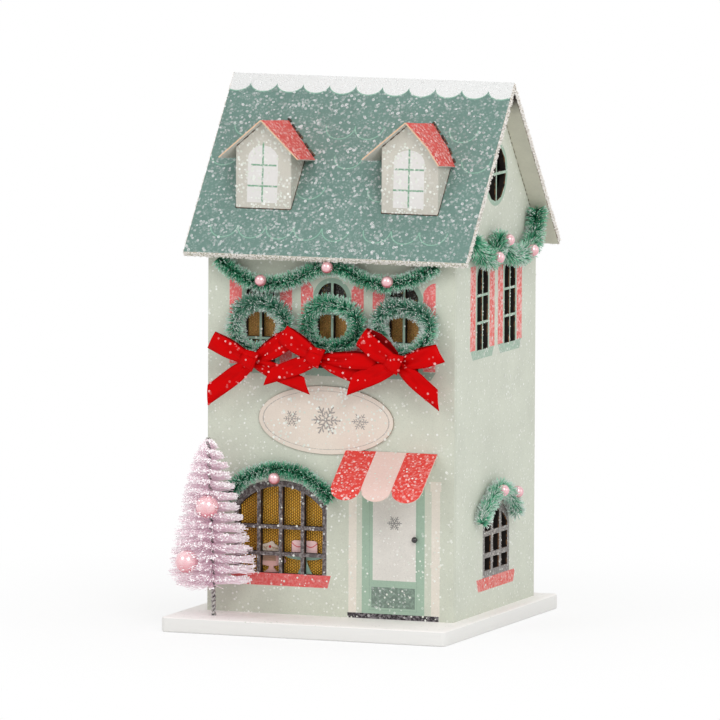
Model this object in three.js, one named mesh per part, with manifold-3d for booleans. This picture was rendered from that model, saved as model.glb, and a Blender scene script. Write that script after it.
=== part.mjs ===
// A christmas village house of printed board on a painted wooden base, with tinsel, ribbon and a brush tree.
// Millimetres, +Z up. The origin is the middle of the base board's underside and the shop front faces -Y.
import * as THREE from 'three';
import { mergeVertices } from 'three/addons/utils/BufferGeometryUtils.js';
import Module from 'manifold-3d';

const wasm = await Module();
wasm.setup();

// Clearances
const seatGap = 0.3;
const glueGap = 0.2;

// Base board
const baseWidth = 121;
const baseDepth = 131;
const baseThickness = 6;
const baseCornerRadius = 2.2;

// House walls, placed on the base
const houseWidth = 105;
const houseDepth = 93;
const houseX = 1;
const houseY = 9;
const wallHeight = 149.8;
const wallBoard = 2.6;

// Roof
const roofPitch = 51 * Math.PI / 180;
const roofSlopeLength = 87.2;
const roofLength = 120.2;
const roofBoard = 2.8;

// Tall arched windows of the upper floor
const tallWindowWidth = 12.4;
const tallWindowHeight = 34.2;
const tallWindowDrop = 16.2;
const tallWindowBar = 1;
const tallWindowRow = 10.9;
const frontWindowPitch = 30.5;
const frontWindowShift = 0.5;
const gableWindowPitch = 31.4;
const gableWindowShift = 0.8;
const gableWindowDrop = 9.5;

// Round attic windows
const atticWindowRadius = 11.2;
const atticWindowRise = 25.3;
const atticWindowBar = 1.1;

// Shop window
const shopWindowX = -21.2;
const shopWindowBottom = 22.2;
const shopWindowWidth = 35.9;
const shopWindowHeight = 35;
const shopWindowArchRise = 8.6;
const shopWindowBar = 1.5;
const shopWindowFirstRow = 7.8;
const shopWindowRow = 10.8;

// Small gable windows
const smallWindowY = 2;
const smallWindowBottom = 22.6;
const smallWindowWidth = 26;
const smallWindowHeight = 23.4;
const smallWindowArchRise = 6;
const smallWindowUpright = 2.6;
const smallWindowBar = 2;
const smallWindowFirstRow = 6;
const smallWindowRow = 8.8;

// Light hole in the back wall
const lightHoleRadius = 12.5;
const lightHoleHeight = 40;

// Window mesh and the cut-outs held between it and the wall
const meshThickness = 0.3;
const meshMargin = 3;
const meshRim = 2;
const cutoutThickness = 0.6;
const cutoutFoot = 1.8;
const standHeight = 5.8;
const standWidth = 12;
const standShift = 7;
const standStem = 1.8;
const plateThickness = 1.2;
const cakeHeight = 6.6;
const cakeWidth = 9.8;

// Dormers
const dormerWidth = 23.6;
const dormerFootSlope = 64.6;
const dormerPitchX = 31.1;
const dormerRiseLeft = 35.6;
const dormerRiseRight = 36.8;
const dormerTilt = 5.1 * Math.PI / 180;
const dormerOverhang = 4;
const dormerCard = 0.9;
const dormerRoofDrop = 1.2;

// Awning over the door
const doorX = 26.5;
const awningWidth = 38.7;
const awningTop = 73.3;
const awningReach = 19.4;
const awningDrop = 18;
const awningScallop = 5.2;
const awningCard = 0.9;
const awningTab = 4;
const awningStripes = 3;

// Door knob
const knobRadius = 1.25;
const knobSide = 9.6;
const knobHeight = 38.3;

// Sign
const signX = -1.7;
const signHeight = 84.6;
const signHalfWidth = 28.8;
const signHalfHeight = 13.7;
const signThickness = 0.7;

// Wreaths
const wreathRingWidth = 10.4;
const wreathRingHeight = 9;
const wreathPile = 3.5;
const wreathDrop = 16;
const wreathShift = 1.2;

// Ribbon bows
const ribbonWidth = 7.2;
const ribbonThickness = 0.5;
const bowDrop = 14.4;
const bowNestle = 0.38;
const bowLoopThickness = 2.8;
const bowLoopStep = 3.2;
const bowKnotWidth = 6.6;
const bowKnotHeight = 7.8;
const tailCut = 3.2;

// Tinsel garlands
const frontPile = 2.8;
const shopPile = 2.7;
const gablePile = 3.6;
const smallPile = 3.2;
const shopGarlandClearance = 4.8;
const shopGarlandOverrun = 2;

// Pearls
const smallPearlRadius = 2.2;
const treePearlRadius = 4.6;

// Brush tree
const treeX = -43.1;
const treeY = -51.4;
const treeLean = 2.2 * Math.PI / 180;
const treeHeight = 70.4;
const treeBareWire = 10.5;
const treeWireRadius = 1;
const treeRootRadius = 1.5;
const treeSocketDepth = 4;
const treeSlices = 4;
const strandsPerTurn = 25;
const strandPitch = 4.2;
const strandRoot = 0.2;
const strandTip = 0.42;
const strandDroop = 4 * Math.PI / 180;

// Heights that follow from the sizes above
const wallTop = baseThickness + wallHeight;
const roofSlope = Math.tan(roofPitch);
const roofUnderDrop = roofBoard / Math.cos(roofPitch);
const ridgeTop = wallTop + seatGap + houseDepth / 2 * roofSlope + roofUnderDrop;
const frontFace = -houseDepth / 2;
const gableFace = houseWidth / 2;
const gableHalfDepth = houseDepth / 2 - wallBoard;
const windowTop = wallTop - tallWindowDrop;
const gableWindowTop = wallTop - gableWindowDrop;
const wreathHeight = windowTop - wreathDrop;

const colours = {
  white: 0xf1efeb,
  mint: 0xcdd4c3,
  roofGreen: 0x74968c,
  cardGrey: 0xc4beb2,
  red: 0xdc554b,
  ribbonRed: 0xd20505,
  cream: 0xe4d8cb,
  gold: 0xa87f32,
  tinsel: 0x2c7a58,
  pearl: 0xf0b4b9,
  pink: 0xe8b9b9,
  standMint: 0xa9cbb9,
  black: 0x1c1a1c,
  wire: 0x5b5a5c,
  lilac: 0xe1c8d7,
};

const finishes = {
  card: [0.85, 0],
  paint: [0.6, 0],
  satin: [0.35, 0],
  foil: [0.35, 0.8],
  tinsel: [0.7, 0],
  bead: [0.25, 0],
  wire: [0.45, 0.9],
};

const village = new THREE.Group();
const house = new THREE.Group();
house.position.set(houseX, houseY, 0);
village.add(house);

// Adds one named piece to its group
function piece(parent, name, geometry, colour, finish) {
  const [roughness, metalness] = finishes[finish];
  const material = new THREE.MeshStandardMaterial({ color: colours[colour], roughness, metalness });
  const mesh = new THREE.Mesh(geometry, material);
  mesh.name = name;
  parent.add(mesh);
  return mesh;
}

// Turns a closed geometry into a solid for joining and cutting
function solid(geometry) {
  const bare = geometry.clone();
  bare.deleteAttribute('normal');
  bare.deleteAttribute('uv');
  const merged = mergeVertices(bare, 1e-5);
  return new wasm.Manifold(new wasm.Mesh({
    numProp: 3,
    vertProperties: new Float32Array(merged.attributes.position.array),
    triVerts: new Uint32Array(merged.index.array),
  }));
}

// Turns a solid back into a geometry
function geometryOf(body) {
  const mesh = body.getMesh();
  const geometry = new THREE.BufferGeometry();
  geometry.setAttribute('position', new THREE.BufferAttribute(new Float32Array(mesh.vertProperties), 3));
  geometry.setIndex(new THREE.BufferAttribute(new Uint32Array(mesh.triVerts), 1));
  geometry.computeVertexNormals();
  return geometry;
}

// Joins a list of solids
function join(bodies) {
  return bodies.reduce((sum, body) => sum.add(body));
}

// A box between two corners
function boxBetween(low, high) {
  const size = high.map((value, axis) => value - low[axis]);
  const geometry = new THREE.BoxGeometry(...size);
  return geometry.translate(low[0] + size[0] / 2, low[1] + size[1] / 2, low[2] + size[2] / 2);
}

const axisX = new THREE.Vector3(1, 0, 0);
const axisY = new THREE.Vector3(0, 1, 0);
const axisZ = new THREE.Vector3(0, 0, 1);

// A plate whose outline lies in X and Z, from y = back towards -Y
function plateXZ(shape, back, thickness, curveSegments = 12) {
  const geometry = new THREE.ExtrudeGeometry(shape, { depth: thickness, bevelEnabled: false, curveSegments });
  const turn = new THREE.Matrix4().makeBasis(axisX, axisZ, axisY.clone().negate());
  return geometry.applyMatrix4(turn).translate(0, back, 0);
}

// A bar whose section lies in Y and Z, from x = start towards +X
function barYZ(shape, start, length, curveSegments = 12) {
  const geometry = new THREE.ExtrudeGeometry(shape, { depth: length, bevelEnabled: false, curveSegments });
  const turn = new THREE.Matrix4().makeBasis(axisY, axisZ, axisX);
  return geometry.applyMatrix4(turn).translate(start, 0, 0);
}

// A closed outline through straight corners
function outline(corners) {
  return new THREE.Shape(corners.map(([across, up]) => new THREE.Vector2(across, up)));
}

// A rectangle with an arched head; a rise of half the width gives a round head
function archOutline(centre, bottom, width, height, rise) {
  const half = width / 2;
  const radius = (half * half + rise * rise) / (2 * rise);
  const spring = bottom + height - rise;
  const middle = bottom + height - radius;
  const reach = Math.asin(Math.min(1, half / radius));
  const shape = new THREE.Shape();
  shape.moveTo(centre - half, bottom);
  shape.lineTo(centre + half, bottom);
  shape.lineTo(centre + half, spring);
  shape.absarc(centre, middle, radius, Math.PI / 2 - reach, Math.PI / 2 + reach, false);
  shape.closePath();
  return shape;
}

// A round outline with flat facets
function roundOutline(across, up, radiusAcross, radiusUp) {
  const shape = new THREE.Shape();
  shape.absellipse(across, up, radiusAcross, radiusUp, 0, 2 * Math.PI, false);
  return shape;
}

// A glazed opening: its outline cut into panes by upright and level bars
function paneCutter(shape, plate, barPlate, uprights, levels) {
  const opening = solid(plate(shape));
  const bars = [...uprights, ...levels].map((corners) => solid(barPlate(outline(corners))));
  return bars.length ? opening.subtract(join(bars)) : opening;
}

// Corners of an upright or level bar that crosses an opening
function barCorners(left, right, low, high) {
  return [[left, low], [right, low], [right, high], [left, high]];
}

// Bars of a tall arched window
function tallWindowBars(centre, bottom) {
  const half = tallWindowWidth / 2 + 1;
  const thin = tallWindowBar / 2;
  const upright = barCorners(centre - thin, centre + thin, bottom - 1, bottom + tallWindowHeight + 1);
  const levels = [1, 2].map((row) => {
    const height = bottom + row * tallWindowRow;
    return barCorners(centre - half, centre + half, height - thin, height + thin);
  });
  return { uprights: [upright], levels };
}

// Bars of a wide window with several columns
function wideWindowBars(centre, bottom, width, height, columns, upright, bar, firstRow, row) {
  const pane = (width - (columns - 1) * upright) / columns;
  const uprights = Array.from({ length: columns - 1 }, (_, index) => {
    const left = centre - width / 2 + (index + 1) * pane + index * upright;
    return barCorners(left, left + upright, bottom - 1, bottom + height + 1);
  });
  const levels = [0, 1].map((index) => {
    const middle = bottom + firstRow + index * row;
    return barCorners(centre - width / 2 - 1, centre + width / 2 + 1, middle - bar / 2, middle + bar / 2);
  });
  return { uprights, levels };
}

// Base board with the socket for the tree
function buildBase() {
  const halfWidth = baseWidth / 2;
  const halfDepth = baseDepth / 2;
  const shape = new THREE.Shape();
  const corners = [[1, 1, 0], [-1, 1, 1], [-1, -1, 2], [1, -1, 3]];
  for (const [sideX, sideY, quarter] of corners) {
    const start = quarter * Math.PI / 2;
    const cornerX = sideX * (halfWidth - baseCornerRadius);
    const cornerY = sideY * (halfDepth - baseCornerRadius);
    shape.absarc(cornerX, cornerY, baseCornerRadius, start, start + Math.PI / 2, false);
  }
  shape.closePath();
  const plate = new THREE.ExtrudeGeometry(shape, { depth: baseThickness, bevelEnabled: false, curveSegments: 4 });
  const socketRadius = treeWireRadius + seatGap + treeSocketDepth * Math.tan(treeLean);
  const socket = new THREE.CylinderGeometry(socketRadius, socketRadius, treeSocketDepth * 2, 10);
  socket.rotateX(Math.PI / 2).translate(treeX, treeY, baseThickness);
  piece(village, 'base_board', geometryOf(solid(plate).subtract(solid(socket))), 'white', 'paint');
}

// Panes are cut right through the wall board
function throughFront(shape) {
  return plateXZ(shape, frontFace + wallBoard + 1, wallBoard + 2, 6);
}

function buildFrontWall() {
  const low = [-gableFace, frontFace, baseThickness];
  const wall = solid(boxBetween(low, [gableFace, frontFace + wallBoard, wallTop]));
  const cutters = [-1, 0, 1].map((place) => {
    const centre = frontWindowShift + place * frontWindowPitch;
    const bottom = windowTop - tallWindowHeight;
    const shape = archOutline(centre, bottom, tallWindowWidth, tallWindowHeight, tallWindowWidth / 2);
    const bars = tallWindowBars(centre, bottom);
    return paneCutter(shape, throughFront, throughFront, bars.uprights, bars.levels);
  });
  const shopShape = archOutline(
    shopWindowX, shopWindowBottom, shopWindowWidth, shopWindowHeight, shopWindowArchRise,
  );
  const shopBars = wideWindowBars(
    shopWindowX, shopWindowBottom, shopWindowWidth, shopWindowHeight, 4,
    shopWindowBar, shopWindowBar, shopWindowFirstRow, shopWindowRow,
  );
  cutters.push(paneCutter(shopShape, throughFront, throughFront, shopBars.uprights, shopBars.levels));
  piece(house, 'front_wall', geometryOf(wall.subtract(join(cutters))), 'mint', 'card');
}

function buildBackWall() {
  const low = [-gableFace, -frontFace - wallBoard, baseThickness];
  const wall = solid(boxBetween(low, [gableFace, -frontFace, wallTop]));
  const hole = roundOutline(0, lightHoleHeight, lightHoleRadius, lightHoleRadius);
  const cutter = solid(plateXZ(hole, -frontFace + 1, wallBoard + 2, 12));
  piece(house, 'back_wall', geometryOf(wall.subtract(cutter)), 'mint', 'card');
}

// Underside of the roof at a distance from the ridge line, with the seat gap taken off
function underRoof(distance) {
  return ridgeTop - roofUnderDrop - seatGap - Math.abs(distance) * roofSlope;
}

function buildGableWall(name, side) {
  const inner = side * gableFace - (side > 0 ? wallBoard : 0);
  const shape = outline([
    [-gableHalfDepth, baseThickness],
    [gableHalfDepth, baseThickness],
    [gableHalfDepth, underRoof(gableHalfDepth)],
    [0, underRoof(0)],
    [-gableHalfDepth, underRoof(gableHalfDepth)],
  ]);
  const through = (cut) => barYZ(cut, inner - 1, wallBoard + 2, 6);
  const cutters = [-1, 1].map((place) => {
    const centre = gableWindowShift + place * gableWindowPitch / 2;
    const bottom = gableWindowTop - tallWindowHeight;
    const arch = archOutline(centre, bottom, tallWindowWidth, tallWindowHeight, tallWindowWidth / 2);
    const bars = tallWindowBars(centre, bottom);
    return paneCutter(arch, through, through, bars.uprights, bars.levels);
  });
  const attic = wallTop + atticWindowRise;
  const reach = atticWindowRadius + 1;
  const thin = atticWindowBar / 2;
  const atticShape = roundOutline(0, attic, atticWindowRadius, atticWindowRadius);
  const upright = barCorners(-thin, thin, attic - reach, attic + reach);
  const level = barCorners(-reach, reach, attic - thin, attic + thin);
  cutters.push(paneCutter(atticShape, through, through, [upright], [level]));
  const smallShape = archOutline(
    smallWindowY, smallWindowBottom, smallWindowWidth, smallWindowHeight, smallWindowArchRise,
  );
  const smallBars = wideWindowBars(
    smallWindowY, smallWindowBottom, smallWindowWidth, smallWindowHeight, 3,
    smallWindowUpright, smallWindowBar, smallWindowFirstRow, smallWindowRow,
  );
  cutters.push(paneCutter(smallShape, through, through, smallBars.uprights, smallBars.levels));
  const wall = solid(barYZ(shape, inner, wallBoard));
  piece(house, name, geometryOf(wall.subtract(join(cutters))), 'mint', 'card');
}

// One sloping roof board; the two boards meet on the ridge's middle plane
function buildRoofPanel(name, side) {
  const along = Math.cos(roofPitch) * roofSlopeLength;
  const down = Math.sin(roofPitch) * roofSlopeLength;
  const eave = [side * along, ridgeTop - down];
  const under = [eave[0] - side * Math.sin(roofPitch) * roofBoard, eave[1] - Math.cos(roofPitch) * roofBoard];
  const corners = [[0, ridgeTop], eave, under, [0, ridgeTop - roofUnderDrop]];
  piece(house, name, barYZ(outline(corners), -roofLength / 2, roofLength), 'roofGreen', 'card');
}

// Everything at or under the front slope, raised by a clearance
function underFrontSlope(clearance) {
  const raise = clearance / Math.cos(roofPitch);
  const reach = houseDepth;
  const shape = outline([
    [-reach, ridgeTop + raise - reach * roofSlope],
    [reach / 2, ridgeTop + raise + reach / 2 * roofSlope],
    [reach / 2, 0],
    [-reach, 0],
  ]);
  return solid(barYZ(shape, -roofLength, 2 * roofLength));
}

// Tilts a run along Y down towards the back, about its front end
function tilted(geometry, front, tilt) {
  const shear = new THREE.Matrix4().makeShear(0, 0, 0, -Math.tan(tilt), 0, 0);
  return geometry.applyMatrix4(shear).translate(0, 0, front * Math.tan(tilt));
}

// A dormer: a folded card body of front and cheeks, and a folded card roof that falls back to the slope
function buildDormer(side, centre, rise, ridgeLine) {
  const footY = -dormerFootSlope * Math.cos(roofPitch);
  const foot = ridgeTop + footY * roofSlope;
  const apex = foot + rise;
  const roofBack = -(ridgeTop - apex) / roofSlope + dormerOverhang;
  const top = ridgeLine.map(([across, drop]) => [centre + across, apex - drop]);
  const bottom = top.map(([across, up]) => [across, up - dormerRoofDrop]).reverse();
  const roofFront = footY - dormerOverhang;
  const roofRun = plateXZ(outline([...top, ...bottom]), roofBack, roofBack - roofFront);
  const roof = solid(tilted(roofRun, roofFront, dormerTilt));
  const roofBody = roof.subtract(underFrontSlope(seatGap));

  const half = dormerWidth / 2;
  const lift = (across) => apex - dropAt(ridgeLine, across) - dormerRoofDrop - seatGap;
  const inner = ridgeLine.filter(([across]) => Math.abs(across) < half).map(([across]) => across);
  const head = [half, ...inner.reverse(), -half].map((across) => [centre + across, lift(across)]);
  const bodyShape = outline([[centre - half, foot - dormerOverhang], [centre + half, foot - dormerOverhang], ...head]);
  const block = solid(tilted(plateXZ(bodyShape, roofBack, roofBack - footY), roofFront, dormerTilt));
  const hollow = solid(boxBetween(
    [centre - half + dormerCard, footY + dormerCard, foot - houseDepth],
    [centre + half - dormerCard, roofBack + 1, apex],
  ));
  const body = block.subtract(hollow).subtract(underFrontSlope(seatGap));
  piece(house, `dormer_${side}_body`, geometryOf(body), 'cardGrey', 'card');
  piece(house, `dormer_${side}_roof`, geometryOf(roofBody), 'red', 'card');
}

// Drop of a dormer's ridge line at a distance across from its middle
function dropAt(ridgeLine, across) {
  for (let index = 1; index < ridgeLine.length; index += 1) {
    const [startAcross, startDrop] = ridgeLine[index - 1];
    const [endAcross, endDrop] = ridgeLine[index];
    if (across <= endAcross) {
      return startDrop + (endDrop - startDrop) * (across - startAcross) / (endAcross - startAcross);
    }
  }
  return ridgeLine[ridgeLine.length - 1][1];
}

const signPlate = roundOutline(signX, signHeight, signHalfWidth, signHalfHeight);

function buildSign() {
  piece(house, 'sign_oval', plateXZ(signPlate, frontFace, signThickness, 20), 'cream', 'card');
}

// Bent card with round scallops, a tab folded down on the wall, and a corner that passes over the sign
function buildAwning() {
  const notch = awningTop - awningDrop + awningScallop;
  const outer = [
    [0, awningTop],
    [-awningReach * 0.6, awningTop - awningDrop * 0.5],
    [-awningReach * 0.88, notch],
    [-awningReach, awningTop - awningDrop],
  ];
  const inner = outer.slice(1).map(([out, up]) => [out + awningCard * 0.6, up - awningCard * 0.8]).reverse();
  const tab = [
    [-awningCard, awningTop - awningCard * 1.8],
    [-awningCard, awningTop - awningTab],
    [0, awningTop - awningTab],
  ];
  const section = outline([...outer, ...inner, ...tab].map(([out, up]) => [frontFace + out, up]));
  const left = doorX - awningWidth / 2;
  const strip = solid(barYZ(section, left, awningWidth));
  const half = awningWidth / awningStripes / 2;
  const depth = awningDrop + awningCard;
  const below = boxBetween(
    [left - 1, frontFace - awningReach - 1, awningTop - depth - 2],
    [left + awningWidth + 1, frontFace - awningReach * 0.7, notch],
  );
  const rounds = Array.from({ length: awningStripes }, (_, index) => {
    const centre = left + half * (2 * index + 1);
    const round = roundOutline(centre, notch, half, awningScallop + awningCard);
    return solid(plateXZ(round, frontFace, awningReach + 2, 8));
  });
  const cutter = solid(below).subtract(join(rounds));
  const overSign = roundOutline(signX, signHeight, signHalfWidth + seatGap, signHalfHeight + seatGap);
  const signRoom = solid(plateXZ(overSign, frontFace + 1, signThickness + seatGap + 1, 20));
  piece(house, 'awning', geometryOf(strip.subtract(cutter).subtract(signRoom)), 'red', 'card');
}

// Window mesh glued to the back of the wall by its rim, with room for cut-outs inside the rim
function buildMesh(name, left, right, low, high) {
  const back = frontFace + wallBoard;
  const depth = cutoutThickness + seatGap;
  const sheet = solid(boxBetween(
    [left - meshMargin, back, low - meshMargin],
    [right + meshMargin, back + depth + meshThickness, high + meshMargin],
  ));
  const edge = meshMargin - meshRim;
  const room = solid(boxBetween([left - edge, back - 1, low - edge], [right + edge, back + depth, high + edge]));
  piece(house, name, geometryOf(sheet.subtract(room)), 'gold', 'foil');
}

function buildMeshes() {
  const shopHalf = shopWindowWidth / 2;
  const shopLow = shopWindowBottom - cutoutFoot - 1;
  const shopHigh = shopWindowBottom + shopWindowHeight;
  buildMesh('shop_window_mesh', shopWindowX - shopHalf, shopWindowX + shopHalf, shopLow, shopHigh);
  const reach = frontWindowPitch + tallWindowWidth / 2;
  const low = windowTop - tallWindowHeight;
  buildMesh('upper_window_mesh', frontWindowShift - reach, frontWindowShift + reach, low, windowTop);
}

// A cake on a footed stand, cut from card
function buildCake(name, centre, colour, tiers) {
  const bottom = shopWindowBottom - cutoutFoot;
  const plate = shopWindowBottom + standHeight;
  const half = standWidth / 2;
  const stem = standStem / 2;
  const right = [[half * 0.45, bottom], [stem, bottom + cutoutFoot], [stem, plate - plateThickness]];
  right.push([half * 0.8, plate - plateThickness], [half, plate]);
  for (const [width, low, high] of tiers) {
    right.push([width * cakeWidth / 2, plate + low * cakeHeight], [width * cakeWidth / 2, plate + high * cakeHeight]);
  }
  const left = right.map(([across, up]) => [-across, up]).reverse();
  const shape = outline([...right, ...left].map(([across, up]) => [centre + across, up]));
  const back = frontFace + wallBoard + cutoutThickness;
  piece(house, name, plateXZ(shape, back, cutoutThickness), colour, 'card');
}

function buildCakes() {
  const middle = shopWindowX + 2.2;
  buildCake('cake_stand_pink', middle - standShift, 'pink', [[1, 0, 0.5], [0.66, 0.5, 1]]);
  buildCake('cake_stand_mint', middle + standShift, 'standMint', [[1, 0, 0.62], [0.8, 0.84, 0.84], [0.3, 1, 1]]);
}

// A round bead or pearl
function bead(parent, name, radius, centre, colour) {
  const mesh = piece(parent, name, new THREE.SphereGeometry(radius, 8, 6), colour, 'bead');
  mesh.position.set(...centre);
}

function buildKnob() {
  bead(house, 'door_knob', knobRadius, [doorX + knobSide, frontFace - knobRadius - 0.1, knobHeight], 'black');
}

// A tinsel ring in front of each upper window
function buildWreath(name, centre) {
  const ring = new THREE.TorusGeometry(wreathRingWidth, wreathPile, 8, 26);
  ring.rotateX(Math.PI / 2);
  const position = ring.attributes.position;
  const stretch = (wreathRingHeight - wreathRingWidth) / wreathRingWidth;
  for (let index = 0; index < position.count; index += 1) {
    const across = position.getX(index);
    const up = position.getZ(index);
    const angle = Math.atan2(up, across);
    position.setZ(index, up + Math.sin(angle) * wreathRingWidth * stretch);
  }
  const mesh = piece(house, name, ring, 'tinsel', 'tinsel');
  mesh.position.set(centre, frontFace - wreathPile - glueGap, wreathHeight);
}

// Centre of each wreath, a little to the right of its window
function wreathCentre(place) {
  return frontWindowShift + wreathShift + place * frontWindowPitch;
}

// A flattened ribbon loop that starts at the knot and runs along a direction in X and Z
function ribbonLoop(direction, out) {
  const length = direction.length();
  const steps = 16;
  const ring = (start, reach, thick) => Array.from({ length: steps }, (_, index) => {
    const turn = 2 * Math.PI * index / steps;
    const along = start + reach * (1 - Math.cos(turn)) / 2;
    const swell = 0.35 + 0.65 * Math.sqrt((1 - Math.cos(turn)) / 2);
    return new THREE.Vector2(along, thick / 2 * Math.sin(turn) * swell);
  });
  const shape = new THREE.Shape(ring(0, length, bowLoopThickness));
  const hollow = ring(length * 0.12, length * 0.88 - ribbonThickness, bowLoopThickness - 2 * ribbonThickness);
  shape.holes.push(new THREE.Path(hollow.reverse()));
  const band = new THREE.ExtrudeGeometry(shape, { depth: ribbonWidth, bevelEnabled: false });
  band.translate(0, 0, -ribbonWidth / 2);
  const along = new THREE.Vector3(direction.x, 0, direction.y).normalize();
  const outward = axisY.clone().negate();
  const across = along.clone().cross(outward);
  return solid(band.applyMatrix4(new THREE.Matrix4().makeBasis(along, outward, across)).translate(0, -out, 0));
}

// A flat ribbon tail with a slanting cut at its end
function ribbonTail(direction, out) {
  const length = direction.length();
  const half = ribbonWidth / 2;
  const lean = Math.sign(direction.x) * tailCut;
  const corners = [[0, -half * 0.7], [length + lean, -half], [length - lean, half], [0, half * 0.7]];
  const strip = plateXZ(outline(corners), ribbonThickness / 2, ribbonThickness);
  const angle = Math.atan2(direction.y, direction.x);
  return solid(strip.rotateY(-angle).translate(0, -out, 0));
}

// A tied bow: its left loop and tail lie in front of the next bow's right loop and tail
function buildBow(name, place, leftLoop, rightLoop, leftTail, rightTail) {
  const near = bowLoopThickness / 2;
  const knot = new THREE.SphereGeometry(1, 12, 8);
  const knotDepth = bowLoopStep + bowLoopThickness;
  knot.scale(bowKnotWidth / 2, knotDepth / 2, bowKnotHeight / 2).translate(0, -knotDepth / 2, 0);
  const bow = join([
    solid(knot),
    ribbonLoop(leftLoop, near + bowLoopStep),
    ribbonLoop(rightLoop, near),
    ribbonTail(leftTail, near + bowLoopStep * 0.5),
    ribbonTail(rightTail, near * 0.6),
  ]);
  const mesh = piece(house, name, geometryOf(bow), 'ribbonRed', 'satin');
  const front = frontFace - 2 * wreathPile - glueGap - seatGap + bowNestle;
  mesh.position.set(place[0], front, place[1]);
}

function buildBows() {
  const height = wreathHeight - bowDrop;
  const vector = (across, up) => new THREE.Vector2(across, up);
  buildBow(
    'bow_left', [wreathCentre(-1) - 0.8, height - 1.3],
    vector(-17.4, 8), vector(16.2, 9), vector(-19.9, -14), vector(22.8, -8.7),
  );
  buildBow(
    'bow_middle', [wreathCentre(0) - 2.8, height + 1],
    vector(-15.4, 9.2), vector(18.5, 2), vector(-21.9, -7.8), vector(21, -9),
  );
  buildBow(
    'bow_right', [wreathCentre(1) - 0.3, height - 0.1],
    vector(-15.6, 10.3), vector(17.8, 5.5), vector(-20.2, -8.3), vector(17.1, -13.2),
  );
}

// A tinsel tube along a path, dented where pearls sit in its pile
function garland(name, pile, points, steps, pearls, pearlPrefix) {
  const path = new THREE.CatmullRomCurve3(points);
  const section = new THREE.Shape(Array.from({ length: 8 }, (_, index) => {
    const turn = 2 * Math.PI * index / 8;
    return new THREE.Vector2(pile * Math.cos(turn), pile * Math.sin(turn));
  }));
  let body = solid(new THREE.ExtrudeGeometry(section, { steps, extrudePath: path, bevelEnabled: false }));
  pearls.forEach((centre, index) => {
    const dent = new THREE.SphereGeometry(smallPearlRadius + seatGap, 8, 6).translate(...centre);
    body = body.subtract(solid(dent));
    const suffix = pearls.length > 1 ? `_${index + 1}` : '';
    bead(house, `${pearlPrefix}${suffix}`, smallPearlRadius, centre, 'pearl');
  });
  piece(house, name, geometryOf(body), 'tinsel', 'tinsel');
  return path;
}

// Two swags under the front eave
function buildFrontGarland() {
  const out = frontFace - frontPile - glueGap;
  const edge = gableFace - 7;
  const swags = [[-edge, -8.6], [-38, -14.4], [-28, -17.3], [-16.5, -15.9], [-7.9, -11.8], [-0.7, -9.8],
    [7, -10.8], [14.4, -14.2], [24.8, -15.8], [35.2, -13.2], [edge, -8]];
  const points = swags.map(([across, drop]) => new THREE.Vector3(across, out, wallTop + drop));
  const front = out - frontPile;
  const pearls = [[-28, -15.8], [0.3, -9.5], [25.9, -14.3]].map(([across, drop]) => [across, front, wallTop + drop]);
  garland('front_garland', frontPile, points, 26, pearls, 'front_pearl');
}

// Tinsel bent over the head of the shop window
function buildShopGarland() {
  const half = shopWindowWidth / 2;
  const radius = (half * half + shopWindowArchRise * shopWindowArchRise) / (2 * shopWindowArchRise);
  const middle = shopWindowBottom + shopWindowHeight - radius;
  const bend = radius + shopGarlandClearance + shopWindowBar;
  const reach = Math.asin((half + shopGarlandOverrun + shopWindowBar) / bend);
  const out = frontFace - shopPile - glueGap;
  const points = Array.from({ length: 9 }, (_, index) => {
    const turn = reach * (index / 4 - 1);
    return new THREE.Vector3(shopWindowX + bend * Math.sin(turn), out, middle + bend * Math.cos(turn));
  });
  const pearl = [shopWindowX - 0.6, out - shopPile, middle + bend - shopPile];
  return garland('shop_window_garland', shopPile, points, 16, [pearl], 'shop_window_pearl');
}

// Swags under the gable, and a short piece over the small window, on one side of the house
function buildGableGarlands(side) {
  const word = side > 0 ? 'right' : 'left';
  const gableOut = side * (gableFace + gablePile + glueGap);
  const swags = [[-37.5, 2.6], [-34.5, 0], [-26.8, -3.9], [-18, -6.5], [-11.5, -5.2], [-6.3, -0.8], [-1.2, -4.2],
    [5.5, -7], [17, -8.6], [28, -6.8], [34.8, -1.6], [37.2, 4.6]];
  const points = swags.map(([along, drop]) => new THREE.Vector3(gableOut, along, wallTop + drop));
  const pearlOut = side * (gableFace + 6.5);
  const pearls = [[-12.3, -6.9], [-0.8, -0.9], [27.3, -7.5]];
  const places = pearls.map(([along, drop]) => [pearlOut, along, wallTop + drop]);
  garland(`${word}_gable_garland`, gablePile, points, 22, places, `${word}_gable_pearl`);

  const smallOut = side * (gableFace + smallPile + glueGap);
  const head = smallWindowBottom + smallWindowHeight;
  const arch = [[-25.4, -2.8], [-21.1, 1.5], [-14.9, 5.6], [-9.2, 8.8], [-3.4, 9.6], [4.1, 7.2], [10, 3.3], [14.7, -2.5]];
  const bend = arch.map(([along, up]) => new THREE.Vector3(smallOut, smallWindowY + along, head + up));
  const beads = [[-8, 8.8], [8.7, 6.5]];
  const spots = beads.map(([along, up]) => [side * (gableFace + 6), smallWindowY + along, head + up]);
  garland(`${word}_window_garland`, smallPile, bend, 13, spots, `${word}_window_pearl`);
}

// Radius of the brush tree at a height along its wire
function treeRadius(height) {
  const top = 1 - height / treeHeight;
  return 1.6 + 20.5 * Math.pow(Math.max(0, top), 0.72) - 0.8 * top;
}

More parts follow.
